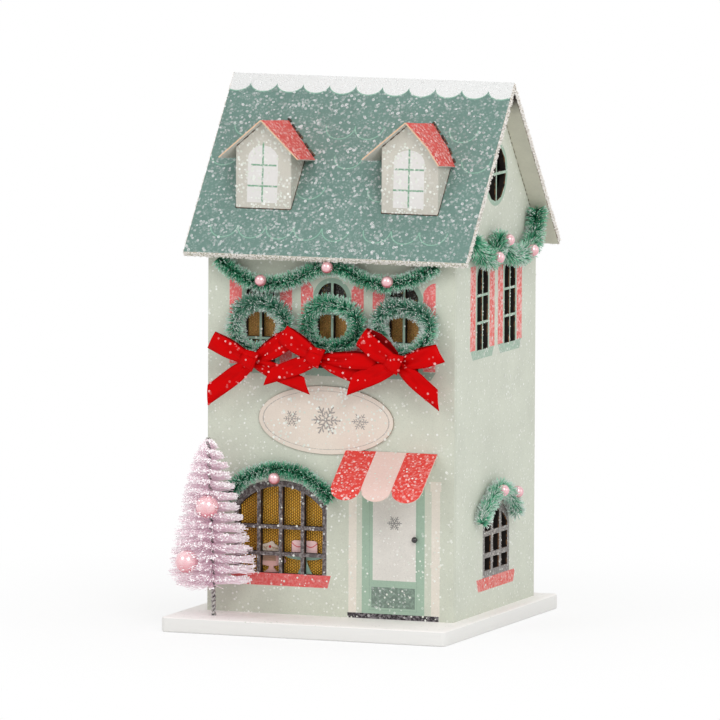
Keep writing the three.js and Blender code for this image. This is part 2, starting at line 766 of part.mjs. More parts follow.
// Distance a strand can run before it would touch a ball or the wall
function freeLength(start, direction, length, balls) {
  let free = length;
  const wall = houseY + frontFace - seatGap - strandTip;
  if (direction.y > 0) {
    free = Math.min(free, (wall - start.y) / direction.y);
  }
  for (const [centre, radius] of balls) {
    const room = radius + seatGap + strandTip;
    const toCentre = centre.clone().sub(start);
    const along = toCentre.dot(direction);
    const aside = toCentre.lengthSq() - along * along;
    if (along > 0 && aside < room * room) {
      free = Math.min(free, along - Math.sqrt(room * room - aside));
    }
  }
  return free;
}

// One three-sided bristle from the root core outwards
function strand(height, turn, length) {
  const reach = length + strandRoot;
  const bristle = new THREE.CylinderGeometry(strandTip, strandRoot, reach, 3, 1);
  bristle.translate(0, reach / 2, 0).rotateZ(-Math.PI / 2 - strandDroop);
  bristle.translate(treeRootRadius - strandRoot * 2, 0, 0);
  return bristle.rotateX(Math.PI / 2).rotateZ(turn).translate(0, 0, height);
}

function buildTree(shopPath) {
  const tree = new THREE.Group();
  tree.position.set(treeX, treeY, baseThickness);
  tree.rotation.y = -treeLean;
  village.add(tree);
  tree.updateMatrixWorld(true);

  const viewed = 21 * Math.PI / 180;
  const pearls = [[-1.2, 7, 44.2], [-10, 8, 22.6]].map(([across, forward, height]) => new THREE.Vector3(
    across * Math.cos(viewed) + forward * Math.sin(viewed),
    across * Math.sin(viewed) - forward * Math.cos(viewed),
    height,
  ));
  pearls.forEach((centre, index) => bead(tree, `tree_pearl_${index + 1}`, treePearlRadius, centre.toArray(), 'pearl'));
  const balls = pearls.map((centre) => [centre.clone().applyMatrix4(tree.matrixWorld), treePearlRadius]);
  for (const point of shopPath.getPoints(60)) {
    balls.push([point.clone().add(house.position), shopPile + seatGap]);
  }

  const wireTop = treeBareWire - seatGap;
  const wire = new THREE.CylinderGeometry(treeWireRadius, treeWireRadius, wireTop + treeSocketDepth - seatGap, 8);
  wire.rotateX(Math.PI / 2).translate(0, 0, (wireTop - treeSocketDepth + seatGap) / 2);
  piece(tree, 'tree_wire', wire, 'wire', 'wire');

  const slice = (treeHeight - treeBareWire) / treeSlices;
  for (let index = 0; index < treeSlices; index += 1) {
    const low = treeBareWire + index * slice;
    const high = low + slice - seatGap;
    const core = new THREE.CylinderGeometry(treeRootRadius, treeRootRadius, high - low, 12);
    core.rotateX(Math.PI / 2).translate(0, 0, (low + high) / 2);
    const bodies = [solid(core)];
    const first = Math.ceil((low + 2 * strandRoot) / strandPitch * strandsPerTurn);
    const last = Math.floor((high - 2 * strandRoot) / strandPitch * strandsPerTurn);
    for (let count = first; count <= last; count += 1) {
      const height = count * strandPitch / strandsPerTurn;
      const turn = 2 * Math.PI * count / strandsPerTurn;
      const start = new THREE.Vector3(0, 0, height);
      const tip = new THREE.Vector3(Math.cos(turn), Math.sin(turn), -Math.tan(strandDroop)).normalize();
      const direction = tip.clone().transformDirection(tree.matrixWorld);
      const wanted = treeRadius(height);
      const free = freeLength(start.applyMatrix4(tree.matrixWorld), direction, wanted, balls);
      if (free > treeRootRadius + 1) {
        bodies.push(solid(strand(height, turn, free - treeRootRadius)));
      }
    }
    piece(tree, `tree_bristles_${index + 1}`, geometryOf(join(bodies)), 'lilac', 'tinsel');
  }
}

buildBase();
buildFrontWall();
buildBackWall();
buildGableWall('left_gable_wall', -1);
buildGableWall('right_gable_wall', 1);
buildRoofPanel('roof_front_panel', -1);
buildRoofPanel('roof_back_panel', 1);
buildDormer('left', -dormerPitchX, dormerRiseLeft, [[-18.1, 15.5], [0, 0], [16.2, 15.4]]);
buildDormer('right', dormerPitchX, dormerRiseRight, [[-19.1, 15.5], [-0.6, 0], [8.9, 9.7], [13.7, 17]]);
buildSign();
buildAwning();
buildMeshes();
buildCakes();
buildKnob();
['left', 'middle', 'right'].forEach((word, index) => buildWreath(`wreath_${word}`, wreathCentre(index - 1)));
buildBows();
buildFrontGarland();
const shopPath = buildShopGarland();
buildGableGarlands(1);
buildGableGarlands(-1);
buildTree(shopPath);

export default village;
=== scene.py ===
"""Dresses a christmas village house of printed board, flakes, tinsel, ribbon, pearls and a brush tree."""

import logging
import math
import random
from dataclasses import dataclass, field
from enum import Enum
from typing import Callable, Iterable, Sequence

import bmesh
import bpy
from mathutils import Matrix, Vector


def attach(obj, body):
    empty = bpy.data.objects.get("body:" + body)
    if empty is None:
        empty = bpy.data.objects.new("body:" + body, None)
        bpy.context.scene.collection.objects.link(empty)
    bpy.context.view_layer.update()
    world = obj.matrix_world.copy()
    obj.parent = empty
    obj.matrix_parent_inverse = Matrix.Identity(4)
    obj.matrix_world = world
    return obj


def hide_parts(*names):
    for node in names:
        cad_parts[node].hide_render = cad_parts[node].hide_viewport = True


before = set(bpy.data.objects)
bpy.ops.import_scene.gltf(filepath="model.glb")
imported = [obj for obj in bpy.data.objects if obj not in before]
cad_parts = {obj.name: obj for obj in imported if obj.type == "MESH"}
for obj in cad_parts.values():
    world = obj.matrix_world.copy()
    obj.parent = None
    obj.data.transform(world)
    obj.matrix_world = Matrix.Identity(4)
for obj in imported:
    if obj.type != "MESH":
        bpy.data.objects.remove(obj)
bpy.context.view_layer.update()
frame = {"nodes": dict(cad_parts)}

LOG = logging.getLogger("village_house")

MM = 0.001
HOUSE = Vector((1.0, 9.0, 0.0))
FRONT = -46.5
SIDE = 52.5
RIDGE = 217.97
PITCH = math.radians(51.0)
SLOPE = math.tan(PITCH)
CELL = 0.4

Colour = tuple[float, float, float]
Point = tuple[float, float, float]
Pairs = Sequence[tuple[float, float]]
Links = dict[str | int, object]


def rgb(red: float, green: float, blue: float) -> Colour:
    """Turns a colour of 0 to 255 as seen into the linear values that a shader takes."""
    return tuple(
        value / 3294.6 if value <= 10.3 else ((value / 255 + 0.055) / 1.055) ** 2.4
        for value in (red, green, blue)
    )


def at(across: float, depth: float, height: float) -> Vector:
    """Places a point given in millimetres from the middle of the house."""
    return (Vector((across, depth, height)) + HOUSE) * MM


def add_node(tree: bpy.types.NodeTree, kind: str, links: Links, settings: dict) -> bpy.types.Node:
    """Adds a node to a tree.

    Args:
        tree: The tree.
        kind: The node's full type.
        links: Values or sockets for its inputs, by name or number.
        settings: Properties of the node, which are set first.

    Returns:
        The node.
    """
    node = tree.nodes.new(kind)
    for name, value in settings.items():
        setattr(node, name, value)
    for name, value in links.items():
        feed(tree, node.inputs[name], value)
    return node


class Signal:
    """A number that changes over a surface. Arithmetic on it adds the nodes that work it out."""

    def __init__(self, tree: bpy.types.NodeTree, socket: bpy.types.NodeSocket) -> None:
        """Wraps an output socket of a tree."""
        self.tree = tree
        self.socket = socket

    def calc(self, kind: str, *others: "Signal | float") -> "Signal":
        """Adds a Math node of this value and the others, and gives its result."""
        node = add_node(self.tree, "ShaderNodeMath", dict(enumerate((self, *others))), {"operation": kind})
        return Signal(self.tree, node.outputs[0])

    def __add__(self, other: "Signal | float") -> "Signal":
        """Adds."""
        return self.calc("ADD", other)

    def __sub__(self, other: "Signal | float") -> "Signal":
        """Subtracts."""
        return self.calc("SUBTRACT", other)

    def __mul__(self, other: "Signal | float") -> "Signal":
        """Multiplies, or joins two masks so that both must hold."""
        return self.calc("MULTIPLY", other)

    def __truediv__(self, other: "Signal | float") -> "Signal":
        """Divides."""
        return self.calc("DIVIDE", other)

    def __pow__(self, other: float) -> "Signal":
        """Raises to a power."""
        return self.calc("POWER", other)

    def __gt__(self, other: "Signal | float") -> "Signal":
        """Gives a mask of where this value is larger."""
        return self.calc("GREATER_THAN", other)

    def __lt__(self, other: "Signal | float") -> "Signal":
        """Gives a mask of where this value is smaller."""
        return self.calc("LESS_THAN", other)

    def __or__(self, other: "Signal") -> "Signal":
        """Joins two masks so that either may hold."""
        return self.calc("MAXIMUM", other)

    def __abs__(self) -> "Signal":
        """Drops the sign."""
        return self.calc("ABSOLUTE")

    def __invert__(self) -> "Signal":
        """Turns a mask round."""
        return self.calc("MULTIPLY_ADD", -1.0, 1.0)

    def part(self) -> "Signal":
        """Keeps the part after the decimal point."""
        return self.calc("FRACT")

    def root(self) -> "Signal":
        """Takes the square root of what lies above zero."""
        return self.calc("MAXIMUM", 0.0).calc("SQRT")

    def ease(self, low: float, high: float) -> "Signal":
        """Rises smoothly from 0 at low to 1 at high, or falls where low is the larger."""
        links = {"Value": self, "From Min": min(low, high), "From Max": max(low, high)}
        links["To Min"], links["To Max"] = (1.0, 0.0) if low > high else (0.0, 1.0)
        node = add_node(self.tree, "ShaderNodeMapRange", links, {"interpolation_type": "SMOOTHSTEP"})
        return Signal(self.tree, node.outputs["Result"])


def feed(tree: bpy.types.NodeTree, slot: bpy.types.NodeSocket, value: object) -> None:
    """Gives an input its value.

    Args:
        tree: The tree that the input is in.
        slot: The input socket.
        value: A signal or socket to link, or a plain value.
    """
    if isinstance(value, Signal):
        tree.links.new(value.socket, slot)
    elif isinstance(value, bpy.types.NodeSocket):
        tree.links.new(value, slot)
    elif slot.type == "RGBA" and len(value) == 3:
        slot.default_value = (*value, 1.0)
    else:
        slot.default_value = value


def radius(across: Signal, up: Signal) -> Signal:
    """Gives the distance from a middle, from two distances at right angles."""
    return (across ** 2.0 + up ** 2.0).root()


class Shade:
    """Builds one tree of shader nodes, of a material or of a group."""

    def __init__(self, tree: bpy.types.NodeTree) -> None:
        """Takes the tree to build in."""
        self.tree = tree

    def add(self, kind: str, links: Links | None = None, **settings: object) -> bpy.types.Node:
        """Adds a node.

        Args:
            kind: The node's type, without ShaderNode in front.
            links: Values or sockets for its inputs, by name or number.
            settings: Properties of the node.

        Returns:
            The node.
        """
        return add_node(self.tree, "ShaderNode" + kind, links or {}, settings)

    def number(self, socket: bpy.types.NodeSocket) -> Signal:
        """Wraps a socket as a signal."""
        return Signal(self.tree, socket)

    def noise(self, where: object, scale: float, detail: float = 2.0, rough: float = 0.5) -> Signal:
        """Adds a noise whose scale is in ripples to the millimetre."""
        node = self.add("TexNoise", {"Vector": where, "Scale": scale, "Detail": detail, "Roughness": rough})
        return self.number(node.outputs["Fac"])

    def mix(self, mask: object, under: object, over: object) -> bpy.types.NodeSocket:
        """Lays one colour over another where a mask holds."""
        return self.add("Mix", {0: mask, 6: under, 7: over}, data_type="RGBA").outputs[2]

    def tint(self, colour: object, factor: Signal) -> bpy.types.NodeSocket:
        """Brightens or darkens a colour by a factor near 1."""
        return self.add("VectorMath", {0: colour, "Scale": factor}, operation="SCALE").outputs[0]

    def group(self, tree: bpy.types.NodeTree, *values: object) -> bpy.types.NodeOutputs:
        """Places a node group with a value for each input, in their order, and gives its outputs."""
        return self.add("Group", dict(enumerate(values)), node_tree=tree).outputs

    def seen(self) -> Signal:
        """Masks the rays that show a thing to the camera, straight, in gloss or through glass."""
        rays = self.add("LightPath").outputs
        kinds = ("Camera", "Glossy", "Transmission")
        straight, gloss, through = (self.number(rays[f"Is {kind} Ray"]) for kind in kinds)
        return straight | gloss | through


class Effect(Shade):
    """A shader node group with named inputs and outputs."""

    def __init__(self, name: str, inputs: dict[str, float | None], outputs: dict[str, str]) -> None:
        """Starts the group.

        Args:
            name: The group's name.
            inputs: Each input's first value, or None for a vector.
            outputs: Each output's kind, Float or Vector.
        """
        super().__init__(bpy.data.node_groups.new(name, "ShaderNodeTree"))
        for title, value in inputs.items():
            kind = "NodeSocketVector" if value is None else "NodeSocketFloat"
            socket = self.tree.interface.new_socket(name=title, in_out="INPUT", socket_type=kind)
            if value is not None:
                socket.default_value = value
        for title, kind in outputs.items():
            self.tree.interface.new_socket(name=title, in_out="OUTPUT", socket_type="NodeSocket" + kind)
        given = self.tree.nodes.new("NodeGroupInput").outputs
        self.result = self.tree.nodes.new("NodeGroupOutput")
        self.given = {title: self.number(given[title]) for title in inputs}

    def end(self, *results: object) -> bpy.types.NodeTree:
        """Joins the results to the outputs in their order and gives the tree."""
        for slot, value in zip(self.result.inputs, results):
            feed(self.tree, slot, value)
        return self.tree


def flake_group() -> bpy.types.NodeTree:
    """Builds the effect of clear round flakes stuck to a surface.

    Returns:
        A group with a mask, strongest at a flake's rim, a brightness for each flake and a tilted normal.
    """
    shade = Effect(
        "Clear flakes",
        {"Vector": None, "Spacing": 1.6, "Size": 0.3, "Fill": 0.6, "Tilt": 0.35},
        {"Mask": "Float", "Shade": "Float", "Normal": "Vector"},
    )
    given = shade.given
    scale = given["Spacing"] ** -1.0
    cells = shade.add("TexVoronoi", {"Vector": given["Vector"], "Scale": scale, "Randomness": 1.0})
    parts = shade.add("SeparateColor", {"Color": cells.outputs["Color"]})
    pick, size, shine = (shade.number(socket) for socket in parts.outputs)
    limit = given["Size"] * (size * 0.6 + 0.55)
    inside = limit - shade.number(cells.outputs["Distance"])
    rim = inside.ease(0.16, 0.07) * 0.6 + 0.4
    mask = inside.ease(0.0, 0.05) * (pick < given["Fill"]) * rim
    lean = shade.add("VectorMath", {0: cells.outputs["Color"], 1: (0.5, 0.5, 0.5)}, operation="SUBTRACT")
    lean = shade.add("VectorMath", {0: lean.outputs[0], "Scale": mask * given["Tilt"]}, operation="SCALE")
    face = shade.add("NewGeometry")
    tilted = shade.add("VectorMath", {0: lean.outputs[0], 1: face.outputs["Normal"]}, operation="ADD")
    tilted = shade.add("VectorMath", {0: tilted.outputs[0]}, operation="NORMALIZE")
    return shade.end(mask, shine, tilted.outputs[0])


def paper_group() -> bpy.types.NodeTree:
    """Builds the mottle, fine speckle and slight waves of printed paper glued on board.

    Returns:
        A group with a colour factor near 1 and a height.
    """
    shade = Effect(
        "Board paper",
        {"Vector": None, "Mottle": 0.06, "Speckle": 0.1},
        {"Factor": "Float", "Height": "Float"},
    )
    where, mottle, speckle = shade.given.values()
    cloud = shade.noise(where, 0.06, 3.0)
    blotch = shade.noise(where, 0.32, 4.0, 0.6)
    grain = shade.noise(where, 2.4, 3.0, 0.6)
    dots = shade.noise(where, 1.1, 1.0).ease(0.6, 0.7)
    bright = shade.noise(where, 1.7, 1.0).ease(0.62, 0.72)
    factor = (cloud - 0.5) * mottle * 2.0 + (blotch - 0.5) * mottle + (grain - 0.5) * speckle
    return shade.end(factor + 1.0 + (bright - dots) * speckle * 0.35, grain * 0.6 + cloud * 1.2)


def frost_group() -> bpy.types.NodeTree:
    """Builds thick white glitter, as on raw board edges and painted bars.

    Returns:
        A group with a mask, a brightness and a height.
    """
    shade = Effect(
        "White glitter",
        {"Vector": None, "Scale": 1.6, "Cover": 0.5},
        {"Mask": "Float", "Shade": "Float", "Height": "Float"},
    )
    where, scale, cover = shade.given.values()
    lumps = shade.noise(where, 0.9, 4.0, 0.65)
    cells = shade.add("TexVoronoi", {"Vector": where, "Scale": scale})
    mask = (lumps + cover - 0.5).ease(0.42, 0.56)
    spark = shade.number(cells.outputs["Distance"]).ease(0.5, 0.1)
    return shade.end(mask, spark, mask * (lumps + spark * 0.5))


def panel_group() -> bpy.types.NodeTree:
    """Builds the mask of a printed panel whose sides may slant.

    Returns:
        A group with one mask.
    """
    names = {
        "Across": 0.0, "Up": 0.0, "Centre": 0.0, "Top half": 1.0, "Foot half": 1.0, "Low": 0.0, "High": 1.0,
    }
    shade = Effect("Printed panel", names, {"Mask": "Float"})
    across, up, centre, top, foot, low, high = shade.given.values()
    half = foot + (top - foot) * ((up - low) / (high - low))
    return shade.end((abs(across - centre) < half) * (up > low) * (up < high))


def arch_group() -> bpy.types.NodeTree:
    """Builds the mask of a printed panel with an arched head.

    Returns:
        A group with one mask.
    """
    names = {"Across": 0.0, "Up": 0.0, "Centre": 0.0, "Half": 1.0, "Low": 0.0, "Spring": 1.0, "Rise": 1.0}
    shade = Effect("Printed arch", names, {"Mask": "Float"})
    across, up, centre, half, low, spring, rise = shade.given.values()
    side = abs(across - centre) / half
    above = (up - spring).calc("MAXIMUM", 0.0) / rise
    return shade.end(((side ** 2.0 + above ** 2.0) < 1.0) * (up > low))


def arc_group() -> bpy.types.NodeTree:
    """Builds the mask of a thin printed line along the lower half of a circle.

    Returns:
        A group with one mask.
    """
    names = {"Across": 0.0, "Down": 0.0, "Centre": 0.0, "Start": 0.0, "Radius": 6.0, "Line": 0.22}
    shade = Effect("Printed arc", names, {"Mask": "Float"})
    across, down, centre, start, size, line = shade.given.values()
    fall = down - start
    return shade.end((abs(radius(across - centre, fall) - size) < line) * (fall > 0.0))


def crystal(across: Signal, up: Signal, size: float) -> Signal:
    """Masks a plain six-armed snow crystal.

    Args:
        across: Distance to the right of the crystal's middle.
        up: Distance above it.
        size: Length of an arm.

    Returns:
        The mask.
    """
    sixth = math.pi / 3
    reach = radius(across, up)
    fold = abs(((up.calc("ARCTAN2", across) / sixth) + 12.5).part() - 0.5) * sixth
    along = reach * fold.calc("COSINE")
    aside = reach * fold.calc("SINE")
    twigs = [abs(along - aside * 0.8 - size * place) < size * 0.06 for place in (0.55, 0.3)]
    return ((aside < size * 0.055) | (twigs[0] | twigs[1]) * (aside < size * 0.26)) * (along < size)


@dataclass
class Effects:
    """The node groups that the materials share."""

    flakes: bpy.types.NodeTree = field(default_factory=flake_group)
    paper: bpy.types.NodeTree = field(default_factory=paper_group)
    frost: bpy.types.NodeTree = field(default_factory=frost_group)
    panel: bpy.types.NodeTree = field(default_factory=panel_group)
    arch: bpy.types.NodeTree = field(default_factory=arch_group)
    arc: bpy.types.NodeTree = field(default_factory=arc_group)


EFFECTS = Effects()


class Surface(Shade):
    """A material whose patterns lie in millimetres from the middle of the house."""

    def __init__(self, name: str) -> None:
        """Starts a material with its place and facing ready to use."""
        self.material = bpy.data.materials.new(name)
        self.material.use_nodes = True
        super().__init__(self.material.node_tree)
        self.shader = self.tree.nodes["Principled BSDF"]
        texture = self.add("TexCoord")
        links = {"Vector": texture.outputs["Object"], "Location": tuple(-HOUSE), "Scale": (1000.0,) * 3}
        self.place = self.add("Mapping", links).outputs[0]
        spot = self.add("SeparateXYZ", {0: self.place})
        self.x, self.y, self.z = (self.number(socket) for socket in spot.outputs)
        facing = self.add("SeparateXYZ", {0: self.add("NewGeometry").outputs["True Normal"]})
        self.nx, self.ny, self.nz = (self.number(socket) for socket in facing.outputs)

    def panel(
        self, across: Signal, up: Signal, centre: float, half: float, low: float, high: float,
        foot: float | None = None,
    ) -> Signal:
        """Masks a printed panel; foot is its half width at the bottom where its sides slant."""
        foot = half if foot is None else foot
        return self.number(self.group(EFFECTS.panel, across, up, centre, half, foot, low, high)[0])

    def arch(
        self, across: Signal, up: Signal, centre: float, half: float, low: float, spring: float, rise: float,
    ) -> Signal:
        """Masks a printed panel with an arched head."""
        return self.number(self.group(EFFECTS.arch, across, up, centre, half, low, spring, rise)[0])

    def arc(
        self, across: Signal, down: Signal, centre: float, start: float, size: float, line: float = 0.22,
    ) -> Signal:
        """Masks a thin printed line along the lower half of a circle."""
        return self.number(self.group(EFFECTS.arc, across, down, centre, start, size, line)[0])

    def paper(self, mottle: float, speckle: float) -> tuple[Signal, ...]:
        """Adds paper and returns its colour factor and height."""
        return tuple(self.number(socket) for socket in self.group(EFFECTS.paper, self.place, mottle, speckle))

    def frost(self, cover: float, scale: float = 1.6) -> tuple[Signal, ...]:
        """Adds white glitter and returns its mask, brightness and height."""
        return tuple(self.number(socket) for socket in self.group(EFFECTS.frost, self.place, scale, cover))

    def flake(self, spacing: float, size: float, fill: float) -> tuple[Signal, Signal, bpy.types.NodeSocket]:
        """Adds clear flakes and returns their mask, brightness and tilted normal."""
        tilt = 0.06
        mask, shine, normal = self.group(EFFECTS.flakes, self.place, spacing, size, fill, tilt)
        return self.number(mask), self.number(shine), normal

    def sprinkle(
        self, colour: object, spacing: float, size: float, fill: float, gain: float, least: float,
    ) -> tuple[bpy.types.NodeSocket, Signal, bpy.types.NodeSocket]:
        """Lays clear flakes over a colour.

        Args:
            colour: The colour below.
            spacing: The flakes' distance in millimetres.
            size: Their size as a share of it.
            fill: The share of places that hold a flake.
            gain: How much the brightest flake covers beyond the dimmest.
            least: How much the dimmest covers.

        Returns:
            The colour with the flakes, their mask and their tilted normal.
        """
        specks, shine, normal = self.flake(spacing, size, fill)
        return self.mix(specks * (shine * gain + least), colour, FLAKE_WHITE), specks, normal

    def stored(self, name: str) -> Signal:
        """Reads a value kept on the mesh."""
        return self.number(self.add("Attribute", attribute_name=name).outputs["Fac"])

    def stretched(self, *scale: float, turn: Point = (0.0, 0.0, 0.0)) -> bpy.types.NodeSocket:
        """Gives the place turned and stretched along its axes, for streaks."""
        return self.add("Mapping", {"Vector": self.place, "Rotation": turn, "Scale": scale}).outputs[0]

    def finish(
        self, colour: object, rough: object, height: Signal | None = None, depth: float = 0.05,
        normal: object = None, **fixed: float,
    ) -> bpy.types.Material:
        """Joins the pattern to the shader.

        Args:
            colour: The colour, or its socket.
            rough: The roughness, or its signal.
            height: What stands proud, as a share of depth.
            depth: The height's full size in millimetres.
            normal: A normal that the bump starts from.
            fixed: Plain values for the shader's sockets, with spaces as underscores.

        Returns:
            The material.
        """
        feed(self.tree, self.shader.inputs["Base Color"], colour)
        feed(self.tree, self.shader.inputs["Roughness"], rough)
        if height is not None:
            bump = self.add("Bump", {"Height": height, "Distance": depth * MM, "Strength": 1.0})
            if normal is not None:
                feed(self.tree, bump.inputs["Normal"], normal)
            normal = bump.outputs[0]
        if normal is not None:
            feed(self.tree, self.shader.inputs["Normal"], normal)
        for name, value in fixed.items():
            feed(self.tree, self.shader.inputs[name.replace("_", " ")], value)
        return self.material


RAW_BOARD = rgb(216, 203, 186)
# Dark brown: real scorch on cut edges, and painted shade inside the house and under the ridge.
SCORCH_AND_SHADE = rgb(40, 28, 20)
# Near black: painted shade on the walls' inner faces, seen through the windows.
INTERIOR_SHADE = rgb(24, 13, 7)
GREY_BOARD = rgb(192, 190, 174)
MINT = rgb(206, 210, 196)
LEAF = rgb(160, 184, 166)
CORAL = rgb(216, 84, 82)
SHUTTER = rgb(234, 112, 111)
FLAKE_WHITE = rgb(240, 241, 240)
GLITTER_WHITE = rgb(238, 236, 230)


@dataclass(frozen=True)
class BasePaint:
    """White paint on the base board: smooth at the sides; grainy, faintly pink and lighter on top as painted
    light; near black inside the house as painted shade.
    """

    white: Colour = rgb(230, 229, 226)
    # Painted light: the top takes a lighter white than the sides, to make up for the shade that falls on it.
    top: Colour = rgb(251, 247, 244)
    bare: Colour = rgb(196, 178, 158)

    def material(self) -> bpy.types.Material:
        """Builds the material."""
        on = Surface("base_white_paint")
        streak = on.noise(on.stretched(0.15, 1.6, 2.0), 0.6, 4.0)
        grain = on.noise(on.place, 1.5, 4.0, 0.65)
        worn = on.noise(on.stretched(0.35, 0.35, 1.3), 0.7, 4.0, 0.65)
        above = on.nz.ease(0.4, 0.8)
        pits = worn.ease(0.72, 0.76) * (~above)
        colour = on.tint(self.white, (streak - 0.5) * 0.04 + 1.0)
        # The top's lighter white is painted light; its grain is real.
        dust = on.tint(self.top, (grain - 0.5) * 0.16 + 1.0)
        colour = on.mix(above, colour, dust)
        colour = on.mix(pits * 0.5, colour, self.bare)
        # Painted shade: the base top inside the house is drawn near black.
        inner = (abs(on.x) < 51.0) * (abs(on.y) < 45.0) * above
        colour = on.mix(inner, colour, SCORCH_AND_SHADE)
        specks, _, normal = on.flake(2.2, 0.22, 0.22)
        colour = on.mix(specks * above * (~inner) * 0.7, colour, FLAKE_WHITE)
        return on.finish(colour, streak * 0.15 + 0.55, grain * above + streak * 0.4 - pits, 0.1, normal)


@dataclass(frozen=True)
class WallPrint:
    """Mint printed paper on the walls; each wall adds its own print."""

    mint: Colour = MINT
    flake_fill: float = 0.3

    def dress(
        self, on: Surface, colour: object, glitter: Signal | None, outside: Signal, cut: Signal,
    ) -> bpy.types.Material:
        """Adds board, paper grain and flakes round a wall's print.

        Args:
            on: The wall's material.
            colour: The printed colour.
            glitter: Where white glitter lies thick, if anywhere.
            outside: Where the printed paper is. The rest is bare board: scorched on the cut edges, and
                painted shade in near black on the inner faces.
            cut: Where the board's cut edges are, which are browner.

        Returns:
            The material.
        """
        factor, height = on.paper(0.1, 0.2)
        colour = on.tint(colour, factor)
        if glitter is not None:
            mask, spark, lumps = on.frost(0.47)
            mask = mask * glitter
            colour = on.mix(mask * 0.75, colour, on.tint(GLITTER_WHITE, spark * 0.25 + 0.8))
            height = height + lumps * glitter * 2.0
        specks, shine, normal = on.flake(1.5, 0.29, self.flake_fill)
        colour = on.mix(specks * (shine * 0.6 + 0.25), colour, rgb(250, 250, 247))
        scorch = on.noise(on.place, 0.4, 3.0, 0.6).ease(0.4, 0.62)
        # Cut edges are scorched board; the other bare faces, inside the house, are painted shade.
        bare = on.mix(cut, INTERIOR_SHADE, on.mix(scorch, SCORCH_AND_SHADE, rgb(136, 92, 54)))
        colour = on.mix(outside, bare, colour)
        rough = (~(specks * outside)) * 0.45 + 0.35
        return on.finish(colour, rough, height, 0.1, normal)


@dataclass(frozen=True)
class FrontPrint(WallPrint):
    """The shop front: shutters, rings, sills, the dark shop window, columns, door and step."""

    # Painted shade: the front's mint is a little darker than the same paper on the other walls.
    mint: Colour = rgb(202, 206, 191)
    ring: Colour = rgb(152, 176, 159)
    column: Colour = rgb(224, 217, 205)
    door: Colour = rgb(158, 182, 163)
    pane: Colour = rgb(219, 215, 208)
    kick: Colour = rgb(112, 129, 119)
    iron: Colour = rgb(85, 76, 76)
    worn_iron: Colour = rgb(117, 109, 109)
    step: Colour = rgb(44, 38, 42)
    flake_fill: float = 0.4
    windows: tuple[float, ...] = (-30.0, 0.5, 31.0)
    shutter_edge: float = 13.35
    door_centre: float = 26.9

    def material(self) -> bpy.types.Material:
        """Builds the material."""
        on = Surface("front_wall_print")
        x, z = on.x, on.z
        face = on.ny < -0.5
        scuff = on.noise(on.place, 0.9, 4.0).ease(0.42, 0.62)
        chafe = on.noise(on.place, 1.3, 3.0, 0.6).ease(0.5, 0.6)
        red = on.mix(chafe * 0.5, SHUTTER, rgb(244, 204, 200))
        colour: object = self.mint
        for centre in self.windows:
            for side in (-1, 1):
                outer = centre + side * self.shutter_edge
                inward = (x - outer) * float(-side)
                body = on.arch(x, z, outer, 6.5, 105.7, 131.0, 10.0) * (inward > 0.0) * (inward < 5.2)
                colour = on.mix(body, colour, red)
            colour = on.mix(on.arch(x, z, centre, 8.1, 105.5, 133.4, 8.1), colour, self.ring)
            colour = on.mix(on.panel(x, z, centre, 13.6, 102.2, 105.5, 11.4), colour, self.ring)
        iron = on.mix(scuff, self.iron, self.worn_iron)
        colour = on.mix(on.arch(x, z, -21.2, 19.7, 22.1, 49.6, 9.9), colour, iron)
        sill = on.mix(chafe * 0.2, CORAL, rgb(236, 186, 182))
        colour = on.mix(on.panel(x, z, -21.1, 21.5, 17.2, 22.2, 20.1), colour, sill)
        for centre, half in ((9.6, 1.7), (44.9, 1.8)):
            shape = on.panel(x, z, centre, half, 8.0, 62.0)
            head = on.panel(x, z, centre, half + 0.5, 58.0, 62.0)
            band = on.panel(x, z, centre, half + 0.4, 27.5, 29.0)
            colour = on.mix(shape | (head | band), colour, self.column)
        middle = self.door_centre
        colour = on.mix(on.panel(x, z, middle, 13.3, 8.0, 66.0), colour, self.door)
        seam = on.panel(x, z, middle, 10.2, 9.4, 66.0) * (~on.panel(x, z, middle, 9.9, 9.7, 66.0))
        colour = on.mix(seam * 0.25, colour, self.kick)
        colour = on.mix(on.panel(x, z, 27.35, 9.15, 21.5, 66.0), colour, self.pane)
        colour = on.mix(crystal(x - 27.35, z - 44.6, 3.1) * 0.8, colour, rgb(104, 104, 104))
        kick, _, _ = on.sprinkle(on.mix(scuff * 0.4, self.kick, self.door), 1.35, 0.37, 0.85, 0.5, 0.12)
        colour = on.mix(on.panel(x, z, 26.95, 9.25, 10.5, 18.8), colour, kick)
        step = on.mix(scuff, self.step, rgb(126, 120, 124))
        colour = on.mix(on.panel(x, z, middle, 19.4, 5.9, 8.1), colour, step)
        colour = on.mix(face, self.mint, colour)
        outside = face | ((abs(on.ny) < 0.5) * (abs(x) > 52.0))
        glitter = on.panel(x, z, -21.2, 21.2, 17.0, 60.0)
        return self.dress(on, colour, glitter * face * 0.14, outside, on.y < FRONT + 0.5)


